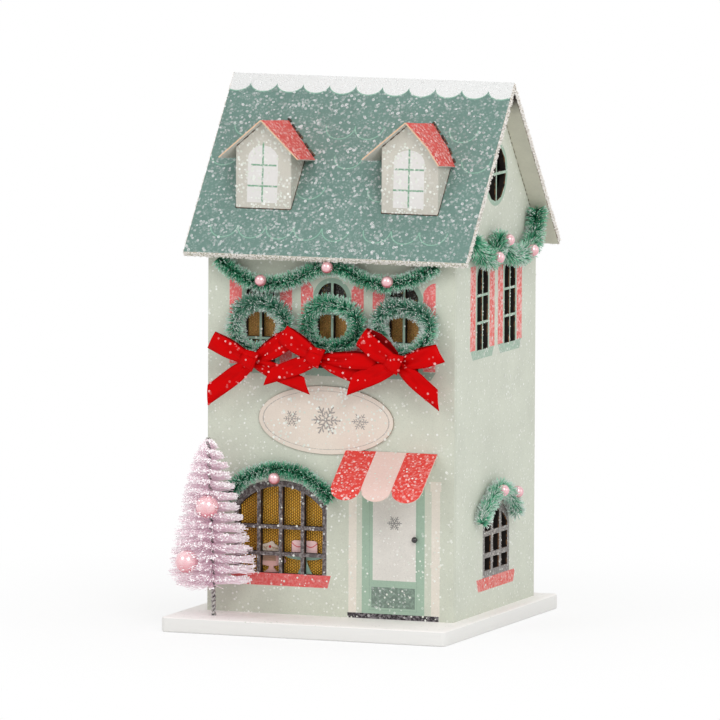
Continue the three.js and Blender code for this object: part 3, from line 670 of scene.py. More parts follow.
@dataclass(frozen=True)
class GablePrint(WallPrint):
    """A gable wall: attic ring, tall shutters, sills and the small grey window."""

    name: str = "gable"
    side: int = 1
    iron: Colour = rgb(128, 124, 121)
    flake_fill: float = 0.25
    attic: float = 181.1
    windows: tuple[float, ...] = (-14.9, 16.5)

    def material(self) -> bpy.types.Material:
        """Builds the material."""
        on = Surface(f"{self.name}_gable_print")
        y, z = on.y, on.z
        face = (on.nx * float(self.side)) > 0.5
        chafe = on.noise(on.place, 0.75, 4.0, 0.65).ease(0.42, 0.62)
        red = on.mix(chafe * 0.75, rgb(222, 104, 98), rgb(238, 196, 192))
        colour = on.mix(radius(y, z - self.attic) < 12.8, self.mint, LEAF)
        for centre in self.windows:
            shutter = on.panel(y, z, centre, 13.9, 112.3, 146.2) * (abs(y - centre) > 8.0)
            colour = on.mix(shutter, colour, red)
            colour = on.mix(on.arch(y, z, centre, 7.5, 112.3, 139.6, 7.5), colour, LEAF)
            colour = on.mix(on.panel(y, z, centre, 13.4, 108.6, 112.4, 11.0), colour, LEAF)
        colour = on.mix(on.arch(y, z, 2.0, 15.2, 19.8, 38.5, 10.4), colour, self.iron)
        sill = on.mix(chafe * 0.3, rgb(218, 92, 84), rgb(240, 190, 184))
        colour = on.mix(on.panel(y, z, 1.9, 22.3, 14.8, 19.8, 20.1), colour, sill)
        colour = on.mix(face, self.mint, colour)
        low, high = on.panel(y, z, 2.0, 24.0, 14.8, 50.0), on.panel(y, z, 0.8, 30.0, 108.6, 112.4)
        glitter = (low * 0.3) | (high * 0.4)
        return self.dress(on, colour, glitter * face, face, (on.x * float(self.side)) > SIDE - 0.5)


@dataclass(frozen=True)
class BackPrint(WallPrint):
    """The plain back wall, with bare board round the light hole."""

    flake_fill: float = 0.2
    hole: float = 40.0

    def material(self) -> bpy.types.Material:
        """Builds the material."""
        on = Surface("back_wall_print")
        worn = (radius(on.x, on.z - self.hole) + on.noise(on.place, 0.8, 4.0) * 1.4) < 13.4
        colour = on.mix(worn * 0.7, self.mint, rgb(178, 158, 132))
        outside = (on.ny > 0.5) | ((abs(on.nx) > 0.5) * (abs(on.x) > 52.0))
        return self.dress(on, colour, None, outside, on.y > -FRONT - 0.5)


@dataclass(frozen=True)
class RoofPrint:
    """Green paper on a roof board, with printed snow, thin arcs, clear flakes and raw glittered edges."""

    name: str
    front: bool
    green: Colour = rgb(106, 136, 127)
    line: Colour = rgb(146, 192, 168)
    snow: Colour = rgb(233, 234, 233)
    underside: Colour = GREY_BOARD
    board: float = 2.8
    cusp: float = 4.1
    pitch: float = 11.3
    scallop: float = 4.4
    arcs: tuple[tuple[float, float, float], ...] = (
        (-8.05, 24.1, 6.2), (4.2, 23.9, 6.1), (-47.3, 24.1, 6.2), (-54.0, 38.7, 6.1), (-1.15, 38.4, 6.0),
        (44.3, 23.8, 6.0), (52.9, 38.0, 6.1), (-13.8, 53.4, 6.2), (16.6, 53.5, 6.0),
    )

    def material(self) -> bpy.types.Material:
        """Builds the material."""
        on = Surface(self.name)
        across = on.x if self.front else on.x * -1.0
        down = (on.z * -1.0 + RIDGE) / math.sin(PITCH)
        top = on.nz > 0.3
        under = on.nz < -0.3
        wave = ((across + 51.5 + self.pitch * 5) / self.pitch).part() - 0.5
        edge = (~((wave * 2.0) ** 2.0)).root() * self.scallop + self.cusp
        factor, height = on.paper(0.12, 0.14)
        green = on.tint(self.green, factor)
        lines = (down > edge) * (down < edge + 0.5)
        for centre, start, radius in self.arcs:
            lines = lines | on.arc(across, down, centre, start, radius)
        lower = ((across + 51.7) / 11.9).part() * 11.9
        later = ((across - 13.4) / 11.95).part() * 11.95
        left = on.arc(lower, down, 5.95, 73.3, 5.8) * (across > -51.7) * (across < 7.6)
        right = on.arc(later, down, 5.97, 73.3, 5.8) * (across > 13.4) * (across < 49.3)
        colour = on.mix((lines | left | right) * 0.7, green, self.line)
        colour, fine, _ = on.sprinkle(colour, 1.15, 0.36, 0.8, 0.18, 0.03)
        colour, specks, normal = on.sprinkle(colour, 1.7, 0.31, 0.75, 0.3, 0.05)
        snowy = (down < edge) * top
        mask, spark, lumps = on.frost(0.5, 2.2)
        grainy = spark * 0.05 + mask * 0.03 + 0.94
        colour = on.mix(snowy, colour, on.tint(self.snow, grainy))
        height = height + lumps * snowy * 0.7
        colour = on.mix(top, self.lower_side(on, factor), colour)
        raw = ~(top | under)
        below = (on.z * -1.0 + RIDGE) * math.cos(PITCH) - abs(on.y) * math.sin(PITCH)
        crumbs = on.mix(mask * 0.8, on.tint(RAW_BOARD, factor), on.tint(GLITTER_WHITE, spark * 0.15 + 0.9))
        burnt = (below > self.board - 0.45) * (abs(on.nx) > 0.5)
        crumbs = on.mix(burnt, crumbs, rgb(112, 86, 62))
        colour = on.mix(raw, colour, crumbs)
        height = height + lumps * raw * 6.0
        rough = (~((specks | fine) * top)) * 0.4 + 0.4
        return on.finish(colour, rough, height, 0.07, normal)

    def lower_side(self, on: Surface, factor: Signal) -> bpy.types.NodeSocket:
        """Colours the underside: grey card outside, and painted shade in dark brown inside the house and
        under the ridge.
        """
        # Painted shade: the underside inside the house and near the ridge is drawn dark.
        within = (abs(on.x) < 50.0) * (abs(on.y) < 45.0)
        ridge = (on.z + on.noise(on.place, 0.3, 3.0) * 4.0).ease(206.0, 214.0)
        return on.mix(within | ridge, on.tint(self.underside, factor), SCORCH_AND_SHADE)


@dataclass(frozen=True)
class DormerPrint:
    """Warm grey card of a dormer with its printed window, which leans a little."""

    name: str
    centre: float
    half: float
    low: float
    spring: float
    rise: float
    lean: float
    bar_top: float
    rows: tuple[tuple[float, float, float], ...]
    card: Colour = rgb(201, 197, 186)
    pane: Colour = rgb(224, 221, 218)
    bar: Colour = rgb(106, 158, 126)

    def material(self) -> bpy.types.Material:
        """Builds the material."""
        on = Surface(self.name)
        face = on.ny < -0.5
        factor, height = on.paper(0.1, 0.22)
        across = on.x - (on.z - self.low) * self.lean
        colour = on.tint(self.card, factor)
        pane = on.arch(across, on.z, self.centre, self.half, self.low, self.spring, self.rise)
        blur = on.noise(on.place, 0.8, 3.0)
        colour = on.mix(pane * face, colour, on.tint(self.pane, blur * 0.1 + 0.95))
        bars = (abs(across - self.centre) < 0.37) * (on.z > self.low + 0.2) * (on.z < self.bar_top)
        for row, start, end in self.rows:
            bars = bars | ((abs(on.z - row) < 0.36) * (on.x > start) * (on.x < end))
        worn = on.noise(on.place, 1.6, 3.0).ease(0.68, 0.5)
        colour = on.mix(bars * face * worn * 0.9, colour, self.bar)
        colour, specks, normal = on.sprinkle(colour, 1.5, 0.33, 0.5, 0.5, 0.15)
        return on.finish(colour, (~specks) * 0.4 + 0.4, height, 0.05, normal)


@dataclass(frozen=True)
class RedCard:
    """Coral printed card with grey-white back, tan cut edges and streaky pale chafes."""

    name: str
    red: Colour = rgb(214, 72, 64)
    back: Colour = rgb(206, 203, 194)
    edge: Colour = rgb(226, 190, 158)
    tan: Colour = rgb(150, 112, 80)

    def material(self) -> bpy.types.Material:
        """Builds the material."""
        on = Surface(self.name)
        factor, height = on.paper(0.05, 0.14)
        streak = on.stretched(0.5, 1.4, 1.0, turn=(0.0, 0.85, 0.4))
        chafed = on.noise(streak, 0.8, 4.0, 0.65).ease(0.5, 0.66)
        red = on.mix(chafed * 0.38, on.tint(self.red, factor), rgb(240, 196, 190))
        red, specks, normal = on.sprinkle(red, 1.3, 0.34, 0.6, 0.5, 0.2)
        colour = on.mix(on.nz > 0.3, self.edge, red)
        colour = on.mix(on.ny > 0.6, colour, self.tan)
        colour = on.mix(on.nz < -0.3, colour, on.tint(self.back, factor))
        return on.finish(colour, (~specks) * 0.35 + 0.4, height, 0.05, normal)


@dataclass(frozen=True)
class AwningStripes:
    """Coral and pink stripes across the awning, cream at its cut edges."""

    left: float = 6.8
    width: float = 12.9
    red: Colour = rgb(222, 58, 48)
    pink: Colour = rgb(230, 200, 190)
    back: Colour = rgb(228, 220, 206)

    def material(self) -> bpy.types.Material:
        """Builds the material."""
        on = Surface("awning_stripes")
        factor, height = on.paper(0.05, 0.12)
        stripe = ((on.x - self.left) / self.width).calc("FLOOR")
        middle = abs(stripe - 1.0) < 0.5
        streak = on.stretched(0.9, 1.0, 1.2, turn=(0.0, -0.5, 0.0))
        chafed = on.noise(streak, 0.75, 4.0, 0.65).ease(0.48, 0.68)
        more = ((on.x - 20.0) / 24.0).ease(0.0, 1.0) * 0.35 + 0.15
        red = on.mix(chafed * more, self.red, rgb(242, 190, 182))
        colour = on.tint(on.mix(middle, red, self.pink), factor)
        colour, specks, normal = on.sprinkle(colour, 1.25, 0.38, 0.75, 0.42, 0.1)
        colour = on.mix(on.stored("side"), self.back, colour)
        return on.finish(colour, (~specks) * 0.35 + 0.4, height, 0.05, normal)


@dataclass(frozen=True)
class SignPrint:
    """Cream card with a fine oval line and three plain snow crystals."""

    centre: tuple[float, float] = (-1.7, 84.6)
    half: tuple[float, float] = (28.8, 13.7)
    cream: Colour = rgb(224, 212, 199)
    ink: Colour = rgb(132, 128, 126)

    def material(self) -> bpy.types.Material:
        """Builds the material."""
        on = Surface("sign_card_print")
        factor, height = on.paper(0.07, 0.14)
        colour = on.tint(self.cream, factor)
        across, up = on.x - self.centre[0], on.z - self.centre[1]
        ring = radius(across / (self.half[0] - 2.0), up / (self.half[1] - 2.0))
        ink = (abs(ring - 1.0) < 0.009) * 0.7
        for shift, size in ((0.0, 6.2), (-14.5, 3.6), (14.5, 3.6)):
            ink = ink | crystal(across - shift, up, size)
        worn = on.noise(on.place, 1.8, 3.0).ease(0.68, 0.5)
        colour = on.mix(ink * worn * (on.ny < -0.5) * 0.85, colour, self.ink)
        rim = radius(across / self.half[0], up / self.half[1])
        colour = on.mix((rim > 0.992) * 0.7, colour, rgb(120, 104, 78))
        colour, specks, normal = on.sprinkle(colour, 1.9, 0.32, 0.42, 0.5, 0.2)
        return on.finish(colour, (~specks) * 0.4 + 0.4, height, 0.05, normal)


@dataclass(frozen=True)
class GoldCloth:
    """Beaded gold weave behind the windows, gold only between two heights and, outside them, painted shade in
    dark grey with pale specks.
    """

    name: str
    lit: tuple[float, float]
    ribbed: float
    gold: Colour = rgb(222, 168, 62)
    deep: Colour = rgb(128, 90, 30)
    # Painted shade: the dark inside of the house, drawn on the cloth outside the gold band.
    dust: Colour = rgb(84, 78, 74)

    def material(self) -> bpy.types.Material:
        """Builds the material."""
        on = Surface(self.name)
        lean = (on.x + on.noise(on.place, 0.1, 2.0) * 1.5) / 0.82
        row = on.z / 1.15 + (lean / 2.0).part().calc("GREATER_THAN", 0.5) * 0.5
        bead = radius(lean.part() - 0.5, row.part() - 0.5).ease(0.6, 0.15) * self.ribbed
        glint = on.noise(on.place, 2.6, 3.0, 0.7)
        weave = bead + glint * (1.0 - self.ribbed * 0.6)
        colour = on.mix(weave.ease(0.25, 0.95), self.deep, self.gold)
        spark = on.noise(on.place, 1.3, 2.0).ease(0.62, 0.74)
        colour = on.mix(spark * 0.45, colour, rgb(226, 190, 104))
        low, high = self.lit
        band = (on.z > low) * (on.z < high)
        pale = on.noise(on.place, 1.5, 3.0, 0.7).ease(0.5, 0.72)
        # Painted shade outside the band: dark grey with pale specks.
        grey = on.mix(pale, on.tint(self.dust, glint + 0.4), rgb(196, 192, 190))
        colour = on.mix(band, grey, colour)
        return on.finish(colour, ~(weave * 0.3) * 0.6, weave, 0.14, Metallic=band * 0.7)


@dataclass(frozen=True)
class HeapedCakePrint:
    """A pink footed plate under a brown cake with heaped cream icing."""

    plate: Colour = rgb(226, 178, 170)
    cake: Colour = rgb(182, 146, 122)
    icing: Colour = rgb(222, 206, 188)

    def material(self) -> bpy.types.Material:
        """Builds the material."""
        on = Surface("pink_stand_print")
        factor, height = on.paper(0.05, 0.14)
        drip = on.noise(on.stretched(1.0, 0.0, 0.15), 0.6, 2.0)
        body = on.panel(on.x, on.z, -27.05, 2.9, 26.7, 31.5)
        colour = on.mix(body, self.plate, self.cake)
        colour = on.mix(on.z > (drip * 4.0 + 27.8), colour, self.icing)
        toffee = on.noise(on.place, 0.8, 2.0).ease(0.54, 0.6) * (on.z > 29.6)
        colour = on.mix(toffee * 0.7, colour, rgb(160, 122, 74))
        cherry = ((on.x + 26.7) ** 2.0 + (on.z - 32.45) ** 2.0) < 0.34
        colour = on.tint(on.mix(cherry, colour, rgb(190, 50, 46)), factor)
        return on.finish(colour, 0.7, height, 0.04)


@dataclass(frozen=True)
class BoxCakePrint:
    """A mint footed plate under a square pink cake with red swags."""

    plate: Colour = rgb(158, 190, 172)
    cake: Colour = rgb(236, 196, 194)
    swag: Colour = rgb(206, 78, 84)

    def material(self) -> bpy.types.Material:
        """Builds the material."""
        on = Surface("mint_stand_print")
        factor, height = on.paper(0.05, 0.14)
        curve = (((on.x + 17.2) / 5.2).part() - 0.5) * 2.0
        hang = (~(curve ** 2.0)) * -1.5 + 34.4
        colour = on.mix(on.z > 28.9, self.plate, self.cake)
        colour = on.mix((abs(on.z - hang) < 0.24) * 0.9, colour, self.swag)
        return on.finish(on.tint(colour, factor), 0.7, height, 0.04)


@dataclass(frozen=True)
class Satin:
    """Red satin ribbon with fine crosswise threads and woven edges, and painted shade in streaks along its
    folds and inside its loops.
    """

    red: Colour = rgb(202, 2, 4)
    # A darker red: painted shade in the fold streaks, and the real tone of the woven edges.
    deep: Colour = rgb(152, 0, 2)
    # Painted shade inside the loops.
    inside: Colour = rgb(96, 0, 2)

    def material(self) -> bpy.types.Material:
        """Builds the material."""
        on = Surface("red_satin_ribbon")
        layout = on.add("UVMap", uv_map="ribbon")
        part = on.add("SeparateXYZ", {0: layout.outputs[0]})
        across, along = on.number(part.outputs[0]), on.number(part.outputs[1])
        selvedge = abs(across - 0.5) > 0.465
        thread = abs((along * 3.4).part() - 0.5) * 2.0
        fibre = on.noise(on.place, 0.2, 3.0)
        drawn = on.add("CombineXYZ", {0: across * 2.2, 1: along * 0.09})
        # Painted shade: streaks along the ribbon darken it as its folds would be shaded.
        fold_shade = on.noise(drawn.outputs[0], 0.9, 1.0).ease(0.42, 0.66)
        colour = on.mix(fold_shade * 0.3, self.red, self.deep)
        # Painted shade: the inside of each loop is drawn darker.
        colour = on.mix(on.stored("inner") * 0.85, colour, self.inside)
        colour = on.mix(selvedge * 0.3, colour, self.deep)
        rough = fibre * 0.12 + 0.36 + selvedge * 0.2
        height = thread * 0.3 + selvedge
        return on.finish(colour, rough, height, 0.02, Specular_IOR_Level=0.04)


@dataclass(frozen=True)
class Pile:
    """Cut fibres that are dark at the wire, with frosted tips and white frost grains."""

    name: str
    root: Colour
    middle: Colour
    tip: Colour
    frost: Colour
    frost_from: float = 0.72
    frost_share: float = 0.6
    rough: float = 0.55
    # Painted light: the fibres give off light of their own colour, standing in for light passing through
    # them.
    glow: float = 0.0
    spread: float = 0.5
    # Above this height the pile has less frost and is drawn darker as painted shade.
    clean_and_shaded_above: float = 1000.0

    def material(self) -> bpy.types.Material:
        """Builds the material."""
        on = Surface(self.name)
        along, pick = on.stored("tip"), on.stored("pick")
        frosted_and_unshaded = on.z.ease(self.clean_and_shaded_above + 5.0, self.clean_and_shaded_above - 5.0)
        patch = on.noise(on.place, 0.11, 2.0).ease(0.38, 0.62)
        share = (patch * 0.6 + self.frost_share * 0.6) * (frosted_and_unshaded * 0.6 + 0.4)
        patch = patch * frosted_and_unshaded
        colour = on.mix(along.ease(0.05, 0.5), self.root, self.middle)
        colour = on.mix(along.ease(0.4, 1.0) * (patch * 0.5 + 0.5), colour, self.tip)
        # Painted shade: above the height the colour is drawn darker.
        colour = on.tint(colour, (pick * self.spread + (1.03 - self.spread * 0.5)) * (frosted_and_unshaded * 0.4 + 0.6))
        frosted = along.ease(self.frost_from, self.frost_from + 0.25) * (pick < share)
        colour = on.mix(frosted * 0.75, colour, self.frost)
        colour = on.mix(along > 1.5, colour, on.tint(self.frost, pick * 0.15 + 0.95))
        grain = on.noise(on.place, 4.0, 2.0)
        # Painted light: the pile glows in its own colour.
        if self.glow:
            feed(on.tree, on.shader.inputs["Emission Color"], colour)
        return on.finish(
            colour, grain * 0.2 + self.rough, grain, 0.03,
            Specular_IOR_Level=0.3, Emission_Strength=self.glow,
        )


@dataclass(frozen=True)
class PearlCoat:
    """Pink pearl lacquer with soft clouding, and painted shade in deeper pink on its lower side."""

    name: str
    pink: Colour = rgb(240, 168, 177)
    pale: Colour = rgb(248, 202, 207)

    def material(self) -> bpy.types.Material:
        """Builds the material."""
        on = Surface(self.name)
        cloud = on.noise(on.place, 0.4, 3.0)
        colour = on.mix(cloud.ease(0.35, 0.7), self.pink, self.pale)
        # Painted shade: the lower side is drawn deeper pink.
        colour = on.mix(on.nz.ease(0.2, -0.8) * 0.9, colour, rgb(214, 84, 104))
        return on.finish(
            colour, cloud * 0.08 + 0.24, cloud, 0.015,
            Coat_Weight=1.0, Coat_Roughness=0.16, Coat_IOR=3.2, Metallic=0.15,
        )


@dataclass(frozen=True)
class TwistedWire:
    """Dull steel wire with specks of frost."""

    name: str
    metal: Colour = rgb(92, 90, 92)
    frost_cover: float = 0.4

    def material(self) -> bpy.types.Material:
        """Builds the material."""
        on = Surface(self.name)
        mask, spark, lumps = on.frost(self.frost_cover, 2.5)
        drawn = on.noise(on.stretched(3.0, 3.0, 0.4), 1.0, 3.0)
        metal, frost = on.tint(self.metal, drawn * 0.4 + 0.8), on.tint(GLITTER_WHITE, spark * 0.3 + 0.7)
        colour = on.mix(mask * 0.7, metal, frost)
        return on.finish(colour, drawn * 0.2 + 0.4, lumps + drawn * 0.2, 0.1, Metallic=0.7)


@dataclass(frozen=True)
class Loose:
    """Flakes and crumbs that are pieces of their own, clearer or denser from one to the next."""

    name: str
    colour: Colour
    rough: float
    clear: float = 0.0
    rare: float = 1.0
    dull: Colour | None = None

    def material(self) -> bpy.types.Material:
        """Builds the material."""
        on = Surface(self.name)
        pick, reach = on.stored("pick"), on.stored("reach")
        colour = on.tint(self.colour, pick * 0.1 + 0.92)
        if self.dull is not None:
            colour = on.mix((pick ** self.rare) * ((reach ** 4.0) * 0.4 + 0.6), self.dull, self.colour)
        extra = {}
        if self.clear:
            dense = (pick ** self.rare) * self.clear + (1.0 - self.clear)
            extra["Alpha"] = dense * ((reach ** 4.0) * 0.55 + 0.45)
        return on.finish(colour, pick * 0.2 + self.rough, **extra)


@dataclass(frozen=True)
class GlueAndGapShade:
    """Dark scorched glue between two cards, which also stands for the shade in the gap between them."""

    name: str
    dark: Colour = rgb(34, 24, 18)
    tan: Colour = rgb(116, 88, 62)

    def material(self) -> bpy.types.Material:
        """Builds the material."""
        on = Surface(self.name)
        lumps = on.noise(on.place, 0.9, 4.0, 0.6)
        colour = on.mix(lumps.ease(0.45, 0.62), self.dark, self.tan)
        return on.finish(colour, lumps * 0.4 + 0.4, lumps, 0.2)


@dataclass(frozen=True)
class BlackBead:
    """Glossy black glass with fine dust."""

    def material(self) -> bpy.types.Material:
        """Builds the material."""
        on = Surface("black_door_bead")
        dust = on.noise(on.place, 3.0, 3.0).ease(0.55, 0.8)
        colour = on.mix(dust * 0.3, rgb(30, 28, 30), rgb(120, 118, 120))
        return on.finish(colour, dust * 0.3 + 0.15, dust, 0.01, Coat_Weight=0.6)


def finish_piece(
    piece: bpy.types.Object, material: bpy.types.Material | None, slot: str, *nodes: str,
) -> bpy.types.Object:
    """Rides a piece on the house, gives it its material and hides the solids that it stands for.

    Args:
        piece: The piece, in place.
        material: Its material, or None where the piece has one.
        slot: Not used.
        nodes: The solids that it stands for.

    Returns:
        The piece.
    """
    if material is not None:
        piece.data.materials.clear()
        piece.data.materials.append(material)
    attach(piece, "root")
    if nodes:
        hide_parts(*nodes)
    LOG.info("%s: %d faces", piece.name, len(piece.data.polygons))
    return piece


def dress(name: str, material: bpy.types.Material) -> None:
    """Gives a solid of the house its material."""
    node = frame["nodes"][name]
    node.data.materials.clear()
    node.data.materials.append(material)
    LOG.info("%s: solid dressed", name)


def add_object(name: str, data: bpy.types.ID) -> bpy.types.Object:
    """Puts a mesh, a light or a camera into the scene."""
    thing = bpy.data.objects.new(name, data)
    bpy.context.scene.collection.objects.link(thing)
    return thing


def keep_values(mesh: bpy.types.Mesh, name: str, values: Sequence[float]) -> None:
    """Keeps a value for each point of a mesh."""
    mesh.attributes.new(name, "FLOAT", "POINT").data.foreach_set("value", values)


def solidify(piece: bpy.types.Object, thickness: float, offset: float = -1.0) -> None:
    """Gives a sheet a thickness in millimetres, inwards, or on both sides where offset is 0."""
    sheet = piece.modifiers.new("thickness", "SOLIDIFY")
    sheet.thickness = thickness * MM
    sheet.offset = offset


def sheet_faces(lines: int, cells: int, turned: bool = False) -> list[tuple[int, ...]]:
    """Gives the faces between lines of points.

    Args:
        lines: The strips between the lines.
        cells: The cells along a line, which is one less than its points.
        turned: Whether the faces look the other way.

    Returns:
        The faces, as numbers of points.
    """
    step = cells + 1
    corners = [line * step + cell for line in range(lines) for cell in range(cells)]
    if turned:
        return [(k, k + 1, k + step + 1, k + step) for k in corners]
    return [(k, k + step, k + step + 1, k + 1) for k in corners]


def tube_faces(rings: int, sides: int, closed: bool = False) -> list[tuple[int, ...]]:
    """Gives the faces between rings of points; closed joins the last ring to the first."""
    faces = []
    for ring in range(rings if closed else rings - 1):
        here, there = ring * sides, (ring + 1) % rings * sides
        corners = [(k, (k + 1) % sides) for k in range(sides)]
        faces += [(here + a, here + b, there + b, there + a) for a, b in corners]
    return faces


def new_piece(
    name: str, points: Iterable[Vector], faces: Iterable[Sequence[int]], smooth: bool = True,
) -> bpy.types.Object:
    """Makes an object from points and faces that are already in place.

    Args:
        name: The piece's name.
        points: Its points, in metres.
        faces: Its faces, as numbers of points.
        smooth: Whether it is shaded smooth.

    Returns:
        The new object.
    """
    mesh = bpy.data.meshes.new(name)
    mesh.from_pydata([tuple(point) for point in points], [], [tuple(face) for face in faces])
    mesh.update()
    mesh.polygons.foreach_set("use_smooth", [smooth] * len(mesh.polygons))
    return add_object(name, mesh)


def join_pieces(name: str, pieces: Sequence[bpy.types.Object]) -> bpy.types.Object:
    """Joins meshes into the first one and renames it.

    Args:
        name: The joined piece's name.
        pieces: The pieces, all at the origin.

    Returns:
        The joined piece.
    """
    with bpy.context.temp_override(active_object=pieces[0], selected_editable_objects=list(pieces)):
        bpy.ops.object.join()
    pieces[0].name = name
    pieces[0].data.name = name
    return pieces[0]


def bevelled_copy(node: str, name: str, width: float, segments: int = 2) -> bpy.types.Object:
    """Copies a solid of the house and softens its edges.

    Args:
        node: The solid's name.
        name: The new piece's name.
        width: The bevel's width in millimetres.
        segments: The bevel's steps.

    Returns:
        The new piece.
    """
    mesh = frame["nodes"][node].data.copy()
    shape = bmesh.new()
    shape.from_mesh(mesh)
    bmesh.ops.remove_doubles(shape, verts=shape.verts, dist=1e-6)
    bmesh.ops.dissolve_limit(shape, angle_limit=0.02, verts=shape.verts, edges=shape.edges)
    bmesh.ops.recalc_face_normals(shape, faces=shape.faces)
    shape.to_mesh(mesh)
    shape.free()
    mesh.name = name
    piece = add_object(name, mesh)
    bevel = piece.modifiers.new("edges", "BEVEL")
    bevel.width = width * MM
    bevel.segments = segments
    bevel.limit_method = "ANGLE"
    bevel.angle_limit = math.radians(40)
    bevel.harden_normals = True
    mesh.polygons.foreach_set("use_smooth", [True] * len(mesh.polygons))
    return piece


class Flow:
    """Builds one tree of geometry nodes with named inputs."""

    def __init__(self, name: str, inputs: dict[str, object]) -> None:
        """Starts a tree.

        Args:
            name: The tree's name.
            inputs: Each input's first value: a float, an int, a tuple, or None for a material.
        """
        self.tree = bpy.data.node_groups.new(name, "GeometryNodeTree")
        self.tree.interface.new_socket(name="Geometry", in_out="INPUT", socket_type="NodeSocketGeometry")
        self.tree.interface.new_socket(name="Geometry", in_out="OUTPUT", socket_type="NodeSocketGeometry")
        kinds = {float: "Float", int: "Int", tuple: "Vector", type(None): "Material"}
        for title, value in inputs.items():
            kind = "NodeSocket" + kinds[type(value)]
            socket = self.tree.interface.new_socket(name=title, in_out="INPUT", socket_type=kind)
            if value is not None:
                socket.default_value = value
        self.given = self.tree.nodes.new("NodeGroupInput").outputs
        self.result = self.tree.nodes.new("NodeGroupOutput").inputs[0]

    def add(self, kind: str, links: Links | None = None, **settings: object) -> bpy.types.NodeOutputs:
        """Adds a node.

        Args:
            kind: The node's full type.
            links: Values or sockets for its inputs, by name or number.
            settings: Properties of the node.

        Returns:
            The node's outputs.
        """
        return add_node(self.tree, kind, links or {}, settings).outputs

    def math(self, kind: str, *values: object) -> bpy.types.NodeSocket:
        """Adds a Math node and returns its result."""
        return self.add("ShaderNodeMath", dict(enumerate(values)), operation=kind)[0]

    def vector(self, kind: str, *values: object) -> bpy.types.NodeSocket:
        """Adds a Vector Math node and returns its result."""
        place = 1 if kind in ("DOT_PRODUCT", "LENGTH") else 0
        return self.add("ShaderNodeVectorMath", dict(enumerate(values)), operation=kind)[place]

    def scaled(self, vector: object, scale: object) -> bpy.types.NodeSocket:
        """Scales a vector."""
        return self.add("ShaderNodeVectorMath", {0: vector, "Scale": scale}, operation="SCALE")[0]

    def random(self, low: object, high: object, seed: int) -> bpy.types.NodeSocket:
        """Draws a number, or a vector where low is a tuple, with a fixed seed."""
        spread = isinstance(low, tuple)
        first = 0 if spread else 2
        kind = "FLOAT_VECTOR" if spread else "FLOAT"
        links = {first: low, first + 1: high, 8: seed}
        return self.add("FunctionNodeRandomValue", links, data_type=kind)[0 if spread else 1]

    def store(self, shape: object, name: str, value: object, domain: str) -> bpy.types.NodeSocket:
        """Keeps a value on the geometry under a name."""
        links = {"Geometry": shape, "Name": name, "Value": value}
        return self.add("GeometryNodeStoreNamedAttribute", links, data_type="FLOAT", domain=domain)[0]

    def join(self, parts: Sequence[object]) -> bpy.types.NodeSocket:
        """Joins geometries."""
        node = self.tree.nodes.new("GeometryNodeJoinGeometry")
        for part in parts:
            self.tree.links.new(part, node.inputs[0])
        return node.outputs[0]

    def end(self, shape: object) -> None:
        """Realizes the instances, sets the material and ends the tree."""
        real = self.add("GeometryNodeRealizeInstances", {"Geometry": shape})[0]
        real = self.add("GeometryNodeSetShadeSmooth", {"Geometry": real, "Shade Smooth": True})[0]
        done = self.add("GeometryNodeSetMaterial", {"Geometry": real, "Material": self.given["Material"]})[0]
        self.tree.links.new(done, self.result)

    def grow(self, name: str, mesh: bpy.types.Mesh, values: dict[str, object]) -> bpy.types.Object:
        """Runs the tree on a mesh and keeps the result as a plain mesh.

        Args:
            name: The new piece's name.
            mesh: What the tree starts from.
            values: The tree's inputs by name.

        Returns:
            The new piece, without modifiers.
        """
        start = add_object(name + "_start", mesh)
        modifier = start.modifiers.new("grow", "NODES")
        modifier.node_group = self.tree
        for title, value in values.items():
            modifier[self.tree.interface.items_tree[title].identifier] = value
        graph = bpy.context.evaluated_depsgraph_get()
        made = bpy.data.meshes.new_from_object(start.evaluated_get(graph), depsgraph=graph)
        made.name = name
        start.modifiers.clear()
        bpy.data.objects.remove(start)
        return add_object(name, made)


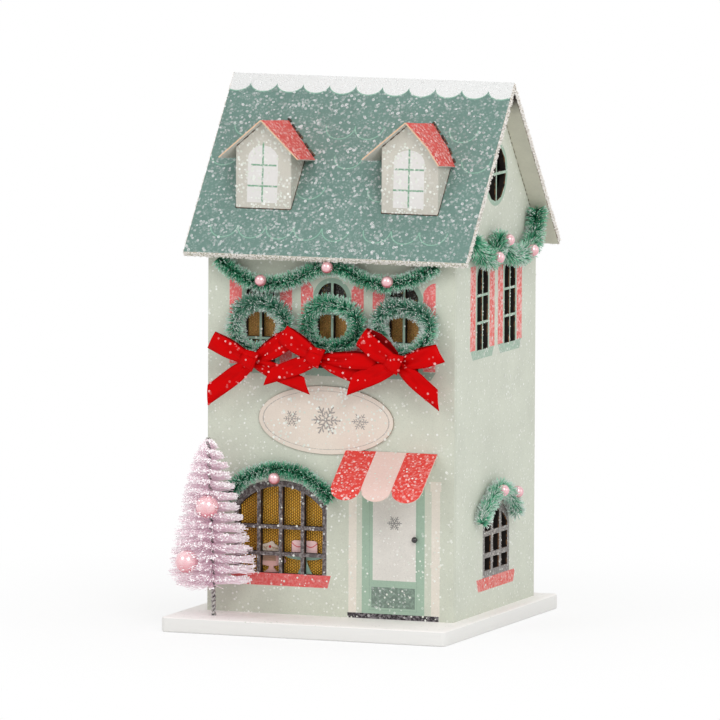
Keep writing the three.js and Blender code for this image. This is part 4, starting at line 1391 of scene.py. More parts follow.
def pile_flow() -> Flow:
    """Builds the tree that sets cut fibres and grains of frost round a twisted wire.

    Returns:
        The tree. Its line carries the fibre length at each point as the attribute pile.
    """
    inputs = {
        "Fibres": 1000, "Turns": 20.0, "Thickness": 0.00012, "Tip": 0.5, "Bend": 3.0, "Wander": 0.5,
        "Lean": 0.3, "Sweep": 0.0, "Bead": 0.0002, "Beaded": 0.0, "Edge": 0.0, "Wall": (0.0, 1.0, 0.0),
        "Wall at": 10.0, "Material": None,
    }
    flow = Flow("Pile on a wire", inputs)
    given = flow.given
    line = flow.add("GeometryNodeMeshToCurve", {"Mesh": given["Geometry"]})[0]
    line = flow.add("GeometryNodeResampleCurve", {"Curve": line, "Count": given["Fibres"]}, mode="COUNT")[0]
    index = flow.add("GeometryNodeInputIndex")[0]
    tangent = flow.add("GeometryNodeInputTangent")[0]
    normal = flow.add("GeometryNodeInputNormal")[0]
    spot = flow.add("GeometryNodeInputPosition")[0]
    share = flow.math("DIVIDE", index, given["Fibres"])
    turned = flow.math("MULTIPLY", flow.math("MULTIPLY", share, given["Turns"]), 2 * math.pi)
    blade = flow.math("MULTIPLY", flow.math("MODULO", index, 2.0), math.pi)
    side = flow.random(-1.0, 1.0, 11)
    stray = flow.math("MULTIPLY", side, given["Wander"])
    beaded = flow.math("MULTIPLY", given["Beaded"], flow.math("MULTIPLY_ADD", side, given["Edge"], 1.0))
    angle = flow.math("ADD", flow.math("ADD", turned, blade), stray)
    links = {"Vector": normal, "Axis": tangent, "Angle": angle}
    out = flow.add("ShaderNodeVectorRotate", links, rotation_type="AXIS_ANGLE")[0]
    lean = flow.math("MULTIPLY", flow.random(-1.0, 1.0, 12), given["Lean"])
    lean = flow.math("ADD", lean, given["Sweep"])
    out = flow.vector("NORMALIZE", flow.vector("ADD", out, flow.scaled(tangent, lean)))
    wanted = flow.add("GeometryNodeInputNamedAttribute", {"Name": "pile"}, data_type="FLOAT")[0]
    wanted = flow.math("MULTIPLY", wanted, flow.random(0.8, 1.08, 13))
    toward = flow.vector("DOT_PRODUCT", out, given["Wall"])
    room = flow.math("SUBTRACT", given["Wall at"], flow.vector("DOT_PRODUCT", spot, given["Wall"]))
    free = flow.math("DIVIDE", room, flow.math("MAXIMUM", toward, 0.001))
    length = flow.math("MINIMUM", wanted, flow.math("MAXIMUM", free, 0.0002))
    cone = {"Vertices": 3, "Side Segments": 2, "Radius Top": given["Tip"], "Radius Bottom": 1.0, "Depth": 1.0}
    fibre = flow.add("GeometryNodeMeshCone", cone, fill_type="NONE")[0]
    within = flow.add("ShaderNodeSeparateXYZ", {0: flow.add("GeometryNodeInputPosition")[0]})[2]
    curl = flow.math("MULTIPLY", flow.math("MULTIPLY", within, within), given["Bend"])
    shift = flow.add("ShaderNodeCombineXYZ", {0: curl})[0]
    fibre = flow.store(fibre, "tip", within, "POINT")
    fibre = flow.add("GeometryNodeSetPosition", {"Geometry": fibre, "Offset": shift})[0]
    aim = flow.add("FunctionNodeAlignRotationToVector", {"Vector": out}, axis="Z")[0]
    size = flow.add("ShaderNodeCombineXYZ", {0: given["Thickness"], 1: given["Thickness"], 2: length})[0]
    links = {"Points": line, "Instance": fibre, "Rotation": aim, "Scale": size}
    copies = flow.add("GeometryNodeInstanceOnPoints", links)[0]
    spin = flow.add("ShaderNodeCombineXYZ", {2: flow.random(0.0, 6.283, 14)})[0]
    links = {"Instances": copies, "Rotation": spin, "Local Space": True}
    parts = [flow.add("GeometryNodeRotateInstances", links)[0]]
    grain = flow.add("GeometryNodeMeshIcoSphere", {"Radius": 1.0, "Subdivisions": 1})[0]
    grain = flow.store(grain, "tip", 2.0, "POINT")
    for low, high, seed in ((0.93, 1.0, 31), (0.35, 0.9, 41)):
        along = flow.math("MULTIPLY", length, flow.random(low, high, seed))
        placed = flow.add("GeometryNodeSetPosition", {"Geometry": line, "Offset": flow.scaled(out, along)})[0]
        chosen = flow.math("LESS_THAN", flow.random(0.0, 1.0, seed + 1), beaded)
        size = flow.math("MULTIPLY", given["Bead"], flow.random(0.55, 1.2, seed + 2))
        links = {"Points": placed, "Selection": chosen, "Instance": grain, "Scale": size}
        parts.append(flow.add("GeometryNodeInstanceOnPoints", links)[0])
    copies = flow.store(flow.join(parts), "pick", flow.random(0.0, 1.0, 15), "INSTANCE")
    flow.end(copies)
    return flow


class Grain(Enum):
    """What is scattered: thin clear discs, or crumbs of glitter."""

    DISC = "disc"
    CRUMB = "crumb"


def scatter_flow(grain: Grain) -> Flow:
    """Builds the tree that scatters flakes or crumbs over a surface, evenly or in drifts.

    Args:
        grain: What is scattered.

    Returns:
        The tree.
    """
    inputs = {
        "Density": 1e5, "Size": 0.0004, "Tilt": 0.3, "Lift": 0.0001, "Drift": 0.0, "Seed": 1,
        "Material": None,
    }
    flow = Flow(f"Scattered {grain.value}s", inputs)
    given = flow.given
    links = {"Mesh": given["Geometry"], "Density": given["Density"], "Seed": given["Seed"]}
    points = flow.add("GeometryNodeDistributePointsOnFaces", links, distribute_method="RANDOM")
    if grain is Grain.DISC:
        ring = {"Vertices": 8, "Radius": 1.0}
        shape = flow.add("GeometryNodeMeshCircle", ring, fill_type="TRIANGLE_FAN")[0]
        middle = flow.add("GeometryNodeInputPosition")[0]
        shape = flow.store(shape, "reach", flow.vector("LENGTH", middle), "POINT")
    else:
        shape = flow.add("GeometryNodeMeshIcoSphere", {"Radius": 1.0, "Subdivisions": 1})[0]
    cloud = flow.add("ShaderNodeTexNoise", {"Scale": 75.0, "Detail": 3.0, "Roughness": 0.6})[0]
    drift = flow.math("MULTIPLY", flow.math("SUBTRACT", cloud, 0.5), 5.0)
    drift = flow.math("MULTIPLY", drift, given["Drift"])
    chosen = flow.math("GREATER_THAN", flow.math("ADD", drift, flow.random(0.0, 1.0, 25)), 0.5)
    tilt = flow.scaled(flow.random((-1.0, -1.0, -9.0), (1.0, 1.0, 9.0), 21), given["Tilt"])
    links = {"Rotation": points[2], "Rotate By": tilt}
    turned = flow.add("FunctionNodeRotateRotation", links, rotation_space="LOCAL")[0]
    lift = flow.scaled(points[1], given["Lift"])
    placed = flow.add("GeometryNodeSetPosition", {"Geometry": points[0], "Offset": lift})[0]
    size = flow.math("MULTIPLY", given["Size"], flow.random(0.6, 1.2, 22))
    links = {"Points": placed, "Selection": chosen, "Instance": shape, "Rotation": turned, "Scale": size}
    copies = flow.add("GeometryNodeInstanceOnPoints", links)[0]
    copies = flow.store(copies, "pick", flow.random(0.0, 1.0, 23), "INSTANCE")
    flow.end(copies)
    return flow


class Scatter:
    """Scatters flakes and crumbs over chosen faces of the pieces."""

    def __init__(self) -> None:
        """Builds the trees and the materials of what is scattered."""
        self.flows = {grain: scatter_flow(grain) for grain in Grain}
        self.clear = Loose("clear_flake", rgb(250, 251, 251), rough=0.3, clear=0.92, rare=2.6).material()
        self.white, self.rosy, self.faint = (
            Loose(f"{name}_flake", bright, rough=0.3, rare=rare, dull=dull).material()
            for name, bright, rare, dull in (
                ("white", rgb(252, 253, 250), 1.3, rgb(214, 217, 205)),
                ("rosy", rgb(255, 236, 232), 1.3, rgb(230, 112, 104)),
                ("ribbon", rgb(255, 226, 224), 2.0, rgb(206, 30, 30)),
            )
        )
        self.grey = Loose("grey_crumb", rgb(196, 190, 184), rough=0.5).material()
        self.gilt = Loose("gilt_flake", rgb(226, 186, 96), rough=0.2, clear=0.75).material()
        self.crumb = Loose("white_crumb", rgb(242, 238, 232), rough=0.4).material()

    def over(
        self, name: str, source: bpy.types.Object, keep: Callable[[Vector, Vector], bool], slot: str,
        density: float, size: float, tilt: float = 0.1, grain: Grain = Grain.DISC, seed: int = 1,
        finish: bpy.types.Material | None = None, drift: float = 0.0,
    ) -> bpy.types.Object:
        """Scatters over the faces that a test keeps.

        Args:
            name: The new piece's name.
            source: The piece whose faces are used.
            keep: Says of a face's middle in house millimetres and its normal whether it takes flakes.
            slot: The name of a material slot, handed on.
            density: Twice the flakes to the square millimetre.
            size: A flake's radius in millimetres.
            tilt: How far the flakes lean, in radians.
            grain: What is scattered.
            seed: Which draw is used.
            finish: The flakes' material, or None for clear discs and white crumbs.
            drift: How much the flakes gather in drifts, from 0 to 1.

        Returns:
            The new piece.
        """
        graph = bpy.context.evaluated_depsgraph_get()
        mesh = bpy.data.meshes.new_from_object(source.evaluated_get(graph), depsgraph=graph)
        shape = bmesh.new()
        shape.from_mesh(mesh)
        shape.normal_update()
        dropped = [f for f in shape.faces if not keep(f.calc_center_median() / MM - HOUSE, f.normal)]
        bmesh.ops.delete(shape, geom=dropped, context="FACES")
        shape.to_mesh(mesh)
        shape.free()
        usual = self.clear if grain is Grain.DISC else self.crumb
        values = {
            "Density": density * 1e6, "Size": size * MM, "Tilt": tilt, "Drift": drift, "Seed": seed,
            "Lift": (size * tilt * 0.45 + 0.03) * MM, "Material": finish or usual,
        }
        piece = self.flows[grain].grow(name, mesh, values)
        return finish_piece(piece, None, slot)


def facing(direction: Point, limit: float = 0.7) -> Callable[[Vector, Vector], bool]:
    """Gives a test for faces that point along a direction."""
    wanted = Vector(direction).normalized()
    return lambda middle, normal: normal.dot(wanted) > limit


def read_off(table: Pairs, place: float) -> float:
    """Reads a value off a table of places and values, straight between two of them."""
    for (low, start), (high, end) in zip(table, table[1:]):
        if place <= high:
            return start + (end - start) * (place - low) / (high - low)
    return table[-1][1]


def refined(line: Sequence[Sequence[float]], least: int) -> list[tuple[float, ...]]:
    """Adds points to a line so that they lie a cell apart, with at least so many steps to each stretch."""
    dense: list[tuple[float, ...]] = []
    for start, end in zip(line, line[1:]):
        steps = max(least, int(math.dist(start, end) / CELL))
        dense += [tuple(a + (b - a) * k / steps for a, b in zip(start, end)) for k in range(steps)]
    return [*dense, tuple(line[-1])]


def dashes(line: Sequence[Point], draw: random.Random, length: float, gap: float) -> list[list[Point]]:
    """Cuts a line into short runs of uneven length.

    Args:
        line: Points in house millimetres.
        draw: Where the random numbers come from.
        length: A run's usual length in millimetres.
        gap: A gap's usual length in millimetres.

    Returns:
        The runs.
    """
    dense = refined(line, 1)
    runs, place = [], 0
    while place < len(dense) - 4:
        count = max(4, int(length * draw.uniform(0.5, 1.6) / CELL))
        runs.append(dense[place:place + count])
        place += count + int(gap * draw.uniform(0.4, 1.7) / CELL)
    return [run for run in runs if len(run) > 3]


@dataclass
class Dormer:
    """One dormer of folded card: a body of front and cheeks, and a roof that falls towards the slope."""

    scatter: Scatter
    side: str
    profile: tuple[tuple[float, float], ...]
    flanks: tuple[float, float]
    tilt: float
    paint: DormerPrint
    front: float = -44.65
    face: float = -40.85
    card: float = 0.5
    lift: float = 0.45
    fold: float = 0.55
    glue: bpy.types.Material = field(init=False)

    def drop(self, depth: float) -> float:
        """Gives how far the roof card has fallen at a depth."""
        return (depth - self.front) * math.tan(self.tilt)

    def under_card(self, across: float, depth: float, gap: float) -> float:
        """Gives the height that lies a gap below the roof card."""
        return read_off(self.profile, across) - self.card / 0.76 - gap - self.drop(depth)

    def build(self) -> None:
        """Makes the body, the roof card, their flakes and the glue."""
        # Dark glue, also painted shade for the gaps between the cards.
        self.glue = GlueAndGapShade(f"dormer_{self.side}_glue").material()
        body = self.body()
        lid = self.lid()
        name, white = f"dormer_{self.side}", self.scatter.white
        for part, direction, density, size, seed in (
            ("front", (0, -1, 0), 0.42, 0.48, 51), ("cheek", (1, 0, 0), 0.3, 0.46, 53),
        ):
            self.scatter.over(
                f"{name}_{part}_flakes", body, facing(direction), "dormer_card", density, size,
                seed=seed, finish=white, drift=0.5,
            )
        self.scatter.over(
            f"{name}_roof_flakes", lid, facing((0, 0, 1), 0.5), "dormer_roof_card", 0.8, 0.5,
            seed=52, finish=self.scatter.rosy,
        )

    def lid(self) -> bpy.types.Object:
        """Makes the roof card, cut where it meets the slope.

        Returns:
            The card.
        """
        line = refined(self.profile, 2)
        for _ in range(2):
            threes = zip(line, line[1:], line[2:])
            inner = [tuple((a + 2 * b + c) / 4 for a, b, c in zip(*three)) for three in threes]
            line = [line[0], *inner, line[-1]]
        rows = 14
        sine, cosine = math.sin(self.tilt), math.cos(self.tilt)
        points, back = [], []
        for index, (across, height) in enumerate(line):
            lift = self.lift + 0.15 * math.sin(index * 0.23 + len(self.side))
            run = (height - RIDGE - self.front * SLOPE - lift) / (sine + SLOPE * cosine)
            for row in range(rows + 1):
                t = run * row / rows
                warp = 0.12 * math.sin(0.19 * t + 0.3 * across)
                points.append(at(across, self.front + t * cosine, height - t * sine + warp * row / rows))
            depth = self.front + run * cosine + 0.45
            back.append((across, depth, RIDGE + depth * SLOPE + 0.3))
        name = f"dormer_{self.side}_roof"
        piece = new_piece(f"{name}_card", points, sheet_faces(len(line) - 1, rows), False)
        solidify(piece, self.card)
        finish_piece(piece, RedCard(f"{name}_print").material(), "dormer_roof_card", name)
        # Glue runs behind the roof card: real glue and painted shade of the gap under it.
        draw = random.Random(len(self.side) + 3)
        runs = [tube(f"glue_{k}", run, 0.55, 6) for k, run in enumerate(dashes(back[3:-3], draw, 5.0, 1.6))]
        finish_piece(join_pieces(f"{name}_glue", runs), self.glue, "dormer_roof_card")
        return piece

    def body(self) -> bpy.types.Object:
        """Makes the folded front and cheeks, and the dark glue with painted shade round their foot.

        Returns:
            The body.
        """
        left, right = self.flanks
        fold, corner = self.fold, self.face + self.fold

        def gable_end(across: float) -> float:
            """Gives the depth at which a cheek runs out between the slope and the roof card."""
            head = read_off(self.profile, across) - self.card - 0.5
            return (head + self.front * math.tan(self.tilt) - RIDGE) / (SLOPE + math.tan(self.tilt)) - 0.2

        start, end = gable_end(left), gable_end(right)
        turns = [k * math.pi / 8 for k in (1, 2, 3)]
        path = [(left, start + (corner - start) * k / 14) for k in range(15)]
        path += [(left + fold - fold * math.cos(turn), corner - fold * math.sin(turn)) for turn in turns]
        path += [(left + fold + (right - left - 2 * fold) * k / 48, self.face) for k in range(49)]
        path += [(right - fold + fold * math.sin(turn), corner - fold * math.cos(turn)) for turn in turns]
        path += [(right, corner + (end - corner) * k / 14) for k in range(15)]
        rows, points, foot = 12, [], []
        for across, depth in path:
            low = RIDGE + depth * SLOPE + 0.12
            high = max(low + 0.05, self.under_card(across, depth, 0.3))
            foot.append((across, depth - 0.1, low - 0.18))
            points += [at(across, depth, low + (high - low) * row / rows) for row in range(rows + 1)]
        name = f"dormer_{self.side}"
        piece = new_piece(f"{name}_body_card", points, sheet_faces(len(path) - 1, rows), False)
        solidify(piece, 0.6)
        finish_piece(piece, self.paint.material(), "dormer_card", f"{name}_body")
        # Foot seam: dark glue and painted shade along the foot.
        joint = tube(f"{name}_foot_glue", foot[1:-1], 0.24, 6)
        finish_piece(joint, self.glue, "dormer_card")
        # Dark dashes under the roof card: painted shade of the gaps, with glue.
        draw = random.Random(len(name))
        apex = max(self.profile, key=lambda point: point[1])[0]
        under = [
            (across, self.face - 0.12, self.under_card(across, self.face, 0.2))
            for across in (left + 0.6, left + 3.0, (left + apex) / 2, apex - 1.5)
        ]
        gaps = [tube(f"{name}_gap_{k}", run, 0.24, 6) for k, run in enumerate(dashes(under, draw, 2.0, 1.8))]
        finish_piece(join_pieces(f"{name}_head_glue", gaps), self.glue, "dormer_card")
        return piece


@dataclass
class Board:
    """The base and the boards and cards of the house, which keep their solids' shapes."""

    scatter: Scatter
    wall_flakes: float = 0.12
    roof_flakes: float = 1.0
    flake: float = 0.54

    def build(self) -> None:
        """Dresses every board and card."""
        self.base()
        self.walls()
        self.roof()
        self.dormers()
        self.gable_gaps()
        self.sign()

    def base(self) -> None:
        """Makes the painted base board."""
        board = bevelled_copy("base_board", "base_board_painted", 0.7, 3)
        finish_piece(board, BasePaint().material(), "base_paint", "base_board")
        self.scatter.over(
            "base_flakes", board, facing((0, 0, 1)), "base_paint", 0.1, 0.32,
            seed=3, finish=self.scatter.white,
        )

    def walls(self) -> None:
        """Dresses the four walls and sticks flakes on their outer faces."""
        dress("front_wall", FrontPrint().material())
        dress("back_wall", BackPrint().material())
        nodes = frame["nodes"]
        slot, white = "wall_board", self.scatter.white
        self.scatter.over(
            "front_wall_flakes", nodes["front_wall"], facing((0, -1, 0)), slot, self.wall_flakes, 0.42,
            seed=5, finish=white, drift=0.9,
        )
        self.scatter.over(
            "back_wall_flakes", nodes["back_wall"], facing((0, 1, 0)), slot, 0.07, 0.44,
            seed=6, finish=white, drift=0.8,
        )
        for name, side in (("left", -1), ("right", 1)):
            node = f"{name}_gable_wall"
            dress(node, GablePrint(name=name, side=side).material())
            self.scatter.over(
                f"{name}_gable_flakes", nodes[node], facing((side, 0, 0)), slot, 0.07, 0.44,
                seed=7 + side, finish=white, drift=0.8,
            )

            def near_window(middle: Vector, normal: Vector) -> bool:
                """Keeps the bars and rim of the small window."""
                return normal.x * side > 0.7 and abs(middle.y - 2.0) < 16.5 and 20.0 < middle.z < 49.0

            def near_tall(middle: Vector, normal: Vector) -> bool:
                """Keeps the bars and rims of the two tall windows."""
                beside = min(abs(middle.y + 14.9), abs(middle.y - 16.5)) < 8.0
                return normal.x * side > 0.7 and beside and 112.0 < middle.z < 147.0

            self.scatter.over(
                f"{name}_window_frost", nodes[node], near_window, slot, 1.2, 0.26,
                grain=Grain.CRUMB, seed=17 + side, finish=self.scatter.grey, drift=0.5,
            )
            self.scatter.over(
                f"{name}_tall_window_frost", nodes[node], near_tall, slot, 0.8, 0.27,
                grain=Grain.CRUMB, seed=23 + side, drift=1.0,
            )

    def roof(self) -> None:
        """Makes the two roof boards, their flakes, and the crumbs on their raw edges."""
        for name, sign in (("front", -1), ("back", 1)):
            node = f"roof_{name}_panel"
            board = bevelled_copy(node, f"roof_{name}_board", 0.3, 2)
            paper = RoofPrint(f"roof_{name}_print", name == "front").material()
            finish_piece(board, paper, "roof_board", node)
            up = Vector((0.0, sign * math.sin(PITCH), math.cos(PITCH)))
            solid = frame["nodes"][node]
            self.scatter.over(
                f"roof_{name}_flakes", solid, facing(up, 0.9), "roof_board", self.roof_flakes, self.flake,
                tilt=0.12, seed=30 + sign, drift=0.3,
            )

            def raw_edge(middle: Vector, normal: Vector) -> bool:
                """Keeps the cut edges but not the ridge mitre."""
                return abs(normal.dot(up)) < 0.5 and abs(middle.y) > 0.5

            self.scatter.over(
                f"roof_{name}_edge_crumbs", solid, raw_edge, "roof_board", 6.4, 0.3,
                tilt=0.9, grain=Grain.CRUMB, seed=40 + sign,
            )

    def dormers(self) -> None:
        """Makes the two dormers."""
        left = DormerPrint(
            "dormer_left_print", centre=-31.9, half=6.45, low=169.85, spring=187.0, rise=5.75, lean=0.024,
            bar_top=194.0, rows=((184.9, -36.5, -25.7), (176.5, -38.2, -25.4)),
        )
        right = DormerPrint(
            "dormer_right_print", centre=30.4, half=6.5, low=169.9, spring=188.0, rise=5.0, lean=0.019,
            bar_top=193.4, rows=((185.3, 24.3, 37.0), (176.95, 23.9, 36.8)),
        )
        Dormer(
            self.scatter, "left", ((-49.2, 187.85), (-31.05, 203.4), (-14.95, 188.05)),
            (-43.2, -19.5), math.radians(4.9), left,
        ).build()
        Dormer(
            self.scatter, "right",
            ((11.95, 189.1), (30.5, 204.55), (35.9, 198.9), (39.95, 194.8), (44.8, 187.6)),
            (18.9, 42.95), math.radians(5.4), right,
        ).build()

    def gable_gaps(self) -> None:
        """Makes the dark broken line of painted shade and glue where each gable wall meets the roof boards.
        """
        glue = GlueAndGapShade("gable_gap_shade", rgb(92, 88, 64), rgb(150, 146, 118)).material()
        draw = random.Random(9)
        for name, side in (("left", -1), ("right", 1)):
            gaps = []
            for slope in (-1, 1):
                under = [
                    (side * (SIDE + 0.05), slope * reach, RIDGE - 4.55 - reach * SLOPE)
                    for reach in (2.0, 15.0, 30.0, 44.0)
                ]
                runs = dashes(under, draw, 1.9, 1.5)
                gaps += [tube(f"gap_{len(gaps) + k}", run, 0.2, 5) for k, run in enumerate(runs)]
            finish_piece(join_pieces(f"{name}_gable_gap", gaps), glue, "wall_board")

    def sign(self) -> None:
        """Makes the oval sign."""
        card = bevelled_copy("sign_oval", "sign_card", 0.12, 2)
        finish_piece(card, SignPrint().material(), "sign_card", "sign_oval")
        self.scatter.over(
            "sign_flakes", frame["nodes"]["sign_oval"], facing((0, -1, 0)), "sign_card", 0.25, 0.46,
            seed=61, finish=self.scatter.white, drift=0.6,
        )


def smooth_line(stations: Sequence[Sequence[float]], steps: int, closed: bool = False) -> list[list[float]]:
    """Runs a smooth curve through stations of any number of values.

    Args:
        stations: The values at each station.
        steps: Steps between two stations.
        closed: Whether the last station joins the first.

    Returns:
        The values along the curve.
    """
    count = len(stations)
    spans = count if closed else count - 1
    line = []
    for span in range(spans):
        picks = [span - 1, span, span + 1, span + 2]
        picks = [pick % count if closed else min(max(pick, 0), count - 1) for pick in picks]
        before, start, end, after = (stations[pick] for pick in picks)
        for step in range(steps):
            t = step / steps
            line.append([
                0.5 * (
                    2 * b + (c - a) * t + (2 * a - 5 * b + 4 * c - d) * t * t
                    + (3 * b - a - 3 * c + d) * t ** 3
                )
                for a, b, c, d in zip(before, start, end, after)
            ])
    if not closed:
        line.append(list(stations[-1]))
    return line


def pile_line(
    name: str, points: Sequence[Vector], edges: Sequence[tuple[int, int]], lengths: Iterable[float],
) -> bpy.types.Mesh:
    """Makes the line that pile grows round.

    Args:
        name: The mesh's name.
        points: Its points, in metres.
        edges: Which points are joined.
        lengths: The pile's length at each point, in millimetres.

    Returns:
        The line.
    """
    mesh = bpy.data.meshes.new(name)
    mesh.from_pydata(points, edges, [])
    keep_values(mesh, "pile", [length * MM for length in lengths])
    return mesh


@dataclass
class Tinsel:
    """Wreaths, swags and the tinsel over the windows, with their pearls."""

    flow: Flow
    pearls: "Pearls"
    per_mm: float = 40.0
    twist: float = 0.42
    finish: Pile = Pile(
        "green_tinsel_pile", root=rgb(2, 64, 42), middle=rgb(43, 146, 105), tip=rgb(158, 218, 189),
        frost=rgb(240, 245, 242), frost_from=0.68, frost_share=0.42, spread=1.0,
    )
    frosted: Pile = Pile(
        "frosted_tinsel_pile", root=rgb(10, 88, 62), middle=rgb(92, 182, 145), tip=rgb(202, 234, 217),
        frost=rgb(244, 248, 245), frost_from=0.58, frost_share=0.74, spread=0.9, clean_and_shaded_above=125.0,
    )
    material: bpy.types.Material = field(init=False)
    pale: bpy.types.Material = field(init=False)
    wire: bpy.types.Material = field(init=False)

    def build(self) -> None:
        """Makes all the tinsel."""
        self.material = self.finish.material()
        self.pale = self.frosted.material()
        self.wire = TwistedWire("tinsel_wire", rgb(60, 84, 72), 0.3).material()
        self.wreaths()
        self.front_swags()
        self.shop_arch()
        for name, side in (("right", 1), ("left", -1)):
            self.gable_swags(name, side)

    def strand(
        self, name: str, line: list[list[float]], node: str, wall: Point = (0, 1, 0),
        wall_at: float = FRONT + HOUSE.y - 0.2, closed: bool = False, pale: bool = False,
    ) -> None:
        """Sets pile round a line.

        Args:
            name: The piece's name.
            line: Points in house millimetres with the pile's length as the fourth value.
            node: The solid that it stands for.
            wall: The direction of the wall behind it.
            wall_at: How far the wall lies along that direction, in millimetres.
            closed: Whether the line is a ring.
            pale: Whether frost lies thick on it.
        """
        points = [at(*point[:3]) for point in line]
        edges = [(i, i + 1) for i in range(len(points) - 1)] + ([(len(points) - 1, 0)] if closed else [])
        mesh = pile_line(name + "_line", points, edges, [point[3] for point in line])
        length = sum((points[a] - points[b]).length for a, b in edges) / MM
        values = {
            "Fibres": int(length * self.per_mm), "Turns": length * self.twist, "Thickness": 0.22 * MM,
            "Tip": 0.5, "Bend": 1.8, "Wander": 1.6, "Lean": 0.45, "Sweep": 0.25, "Bead": 0.2 * MM,
            "Beaded": 0.2 if pale else 0.08, "Wall": wall, "Wall at": wall_at * MM,
            "Material": self.pale if pale else self.material,
        }
        piece = self.flow.grow(name, mesh, values)
        finish_piece(piece, None, "tinsel", node)
        core = tube(name + "_wire", [point[:3] for point in line], 0.45, 6, closed)
        finish_piece(core, self.wire, "tinsel")

    def wreaths(self) -> None:
        """Makes the three rings in front of the upper windows."""
        centres = (("left", -28.8, 122.9, 1.5), ("middle", 1.7, 123.6, -0.5), ("right", 32.2, 123.6, 0.5))
        for name, across, height, sag in centres:
            ring = []
            for step in range(48):
                turn = 2 * math.pi * step / 48
                sway = 0.35 * math.sin(3 * turn + across)
                rise = math.sin(turn)
                ring.append([
                    across + (11.0 + sway) * math.cos(turn), FRONT - 3.7,
                    height - 0.6 + ((8.6 if rise > 0 else 9.6 + sag) + sway) * rise,
                    4.5 + 0.25 * math.sin(5 * turn + height) + 0.5 * min(0.0, rise),
                ])
            self.strand(f"wreath_{name}_tinsel", ring, f"wreath_{name}", closed=True, pale=name != "middle")

    def front_swags(self) -> None:
        """Makes the swags under the front eave."""
        swags = [
            (-47.0, 147.9), (-37.8, 141.3), (-28.4, 138.4), (-16.4, 140.1), (-7.9, 144.0), (-0.7, 146.1),
            (7.0, 145.2), (14.2, 141.8), (24.8, 140.1), (35.4, 142.7), (45.2, 147.9),
        ]
        line = smooth_line([(x, FRONT - 3.0, z, 4.1) for x, z in swags], 6)
        self.strand("front_garland_tinsel", line, "front_garland")
        for index, (across, height) in enumerate(((-27.7, 140.0), (0.65, 146.3), (26.2, 141.5))):
            self.pearls.small(f"front_pearl_{index + 1}", (across, FRONT - 6.3, height))

    def shop_arch(self) -> None:
        """Makes the tinsel over the shop window."""
        arch = [
            (-43.0, 51.9), (-38.7, 57.6), (-32.4, 61.7), (-23.0, 64.3), (-13.5, 63.3), (-5.0, 59.2),
            (1.4, 53.5),
        ]
        line = smooth_line([(x, FRONT - 2.9, z, 3.9) for x, z in arch], 8)
        self.strand("shop_garland_tinsel", line, "shop_window_garland")
        self.pearls.small("shop_window_pearl", (-21.8, FRONT - 5.7, 60.9))

    def gable_swags(self, name: str, side: int) -> None:
        """Makes the tinsel on one gable.

        Args:
            name: Which gable.
            side: 1 for the right gable, -1 for the left.
        """
        out = side * (SIDE + 3.9)
        swags = [
            (-37.5, 158.2), (-34.5, 155.4), (-26.8, 151.0), (-18.0, 148.5), (-11.5, 150.6), (-6.3, 155.6),
            (-1.2, 151.8), (5.5, 148.6), (17.0, 147.2), (28.0, 149.4), (34.8, 155.2), (36.8, 163.6),
        ]
        line = smooth_line([(out, y, z, 5.0) for y, z in swags], 6)
        wall = (-side, 0, 0)
        wall_at = -(SIDE + 0.2) - side * HOUSE.x
        self.strand(f"{name}_gable_tinsel", line, f"{name}_gable_garland", wall, wall_at)
        for index, (along, height) in enumerate(((-16.5, 149.3), (-5.0, 155.3), (23.1, 148.7))):
            self.pearls.small(f"{name}_gable_pearl_{index + 1}", (side * (SIDE + 7.4), along, height))
        arch = [
            (-23.0, 43.2), (-19.1, 47.5), (-12.9, 51.6), (-7.2, 54.6), (-1.4, 55.4), (6.1, 53.0),
            (12.0, 49.3), (16.7, 43.5),
        ]
        line = smooth_line([(side * (SIDE + 3.4), y, z, 4.2) for y, z in arch], 6)
        self.strand(f"{name}_window_tinsel", line, f"{name}_window_garland", wall, wall_at, pale=True)
        for index, (along, height) in enumerate(((-6.0, 54.8), (10.7, 52.5))):
            self.pearls.small(f"{name}_window_pearl_{index + 1}", (side * (SIDE + 6.0), along, height))


def tube(
    name: str, line: Sequence[Sequence[float]], thick: float, sides: int, closed: bool = False,
) -> bpy.types.Object:
    """Makes a round tube along a line.

    Args:
        name: The piece's name.
        line: Points in house millimetres.
        thick: The tube's radius in millimetres.
        sides: How many sides it has.
        closed: Whether the line is a ring.

    Returns:
        The new piece.
    """
    points = [at(*point) for point in line]
    count = len(points)
    turns = [2 * math.pi * k / sides for k in range(sides)]
    rings = []
    reference = Vector((0.13, 0.31, 0.94)).normalized()
    for index, point in enumerate(points):
        ahead = points[(index + 1) % count] if closed else points[min(index + 1, count - 1)]
        behind = points[index - 1] if closed else points[max(index - 1, 0)]
        along = (ahead - behind).normalized()
        aside = (reference - along * reference.dot(along)).normalized()
        reference = aside
        up = along.cross(aside)
        rings.append([
            point + (aside * math.cos(turn) + up * math.sin(turn)) * thick * MM for turn in turns
        ])
    faces = tube_faces(count, sides, closed)
    if not closed:
        faces.append(tuple(reversed(range(sides))))
        faces.append(tuple(range((count - 1) * sides, count * sides)))
    return new_piece(name, [point for ring in rings for point in ring], faces)


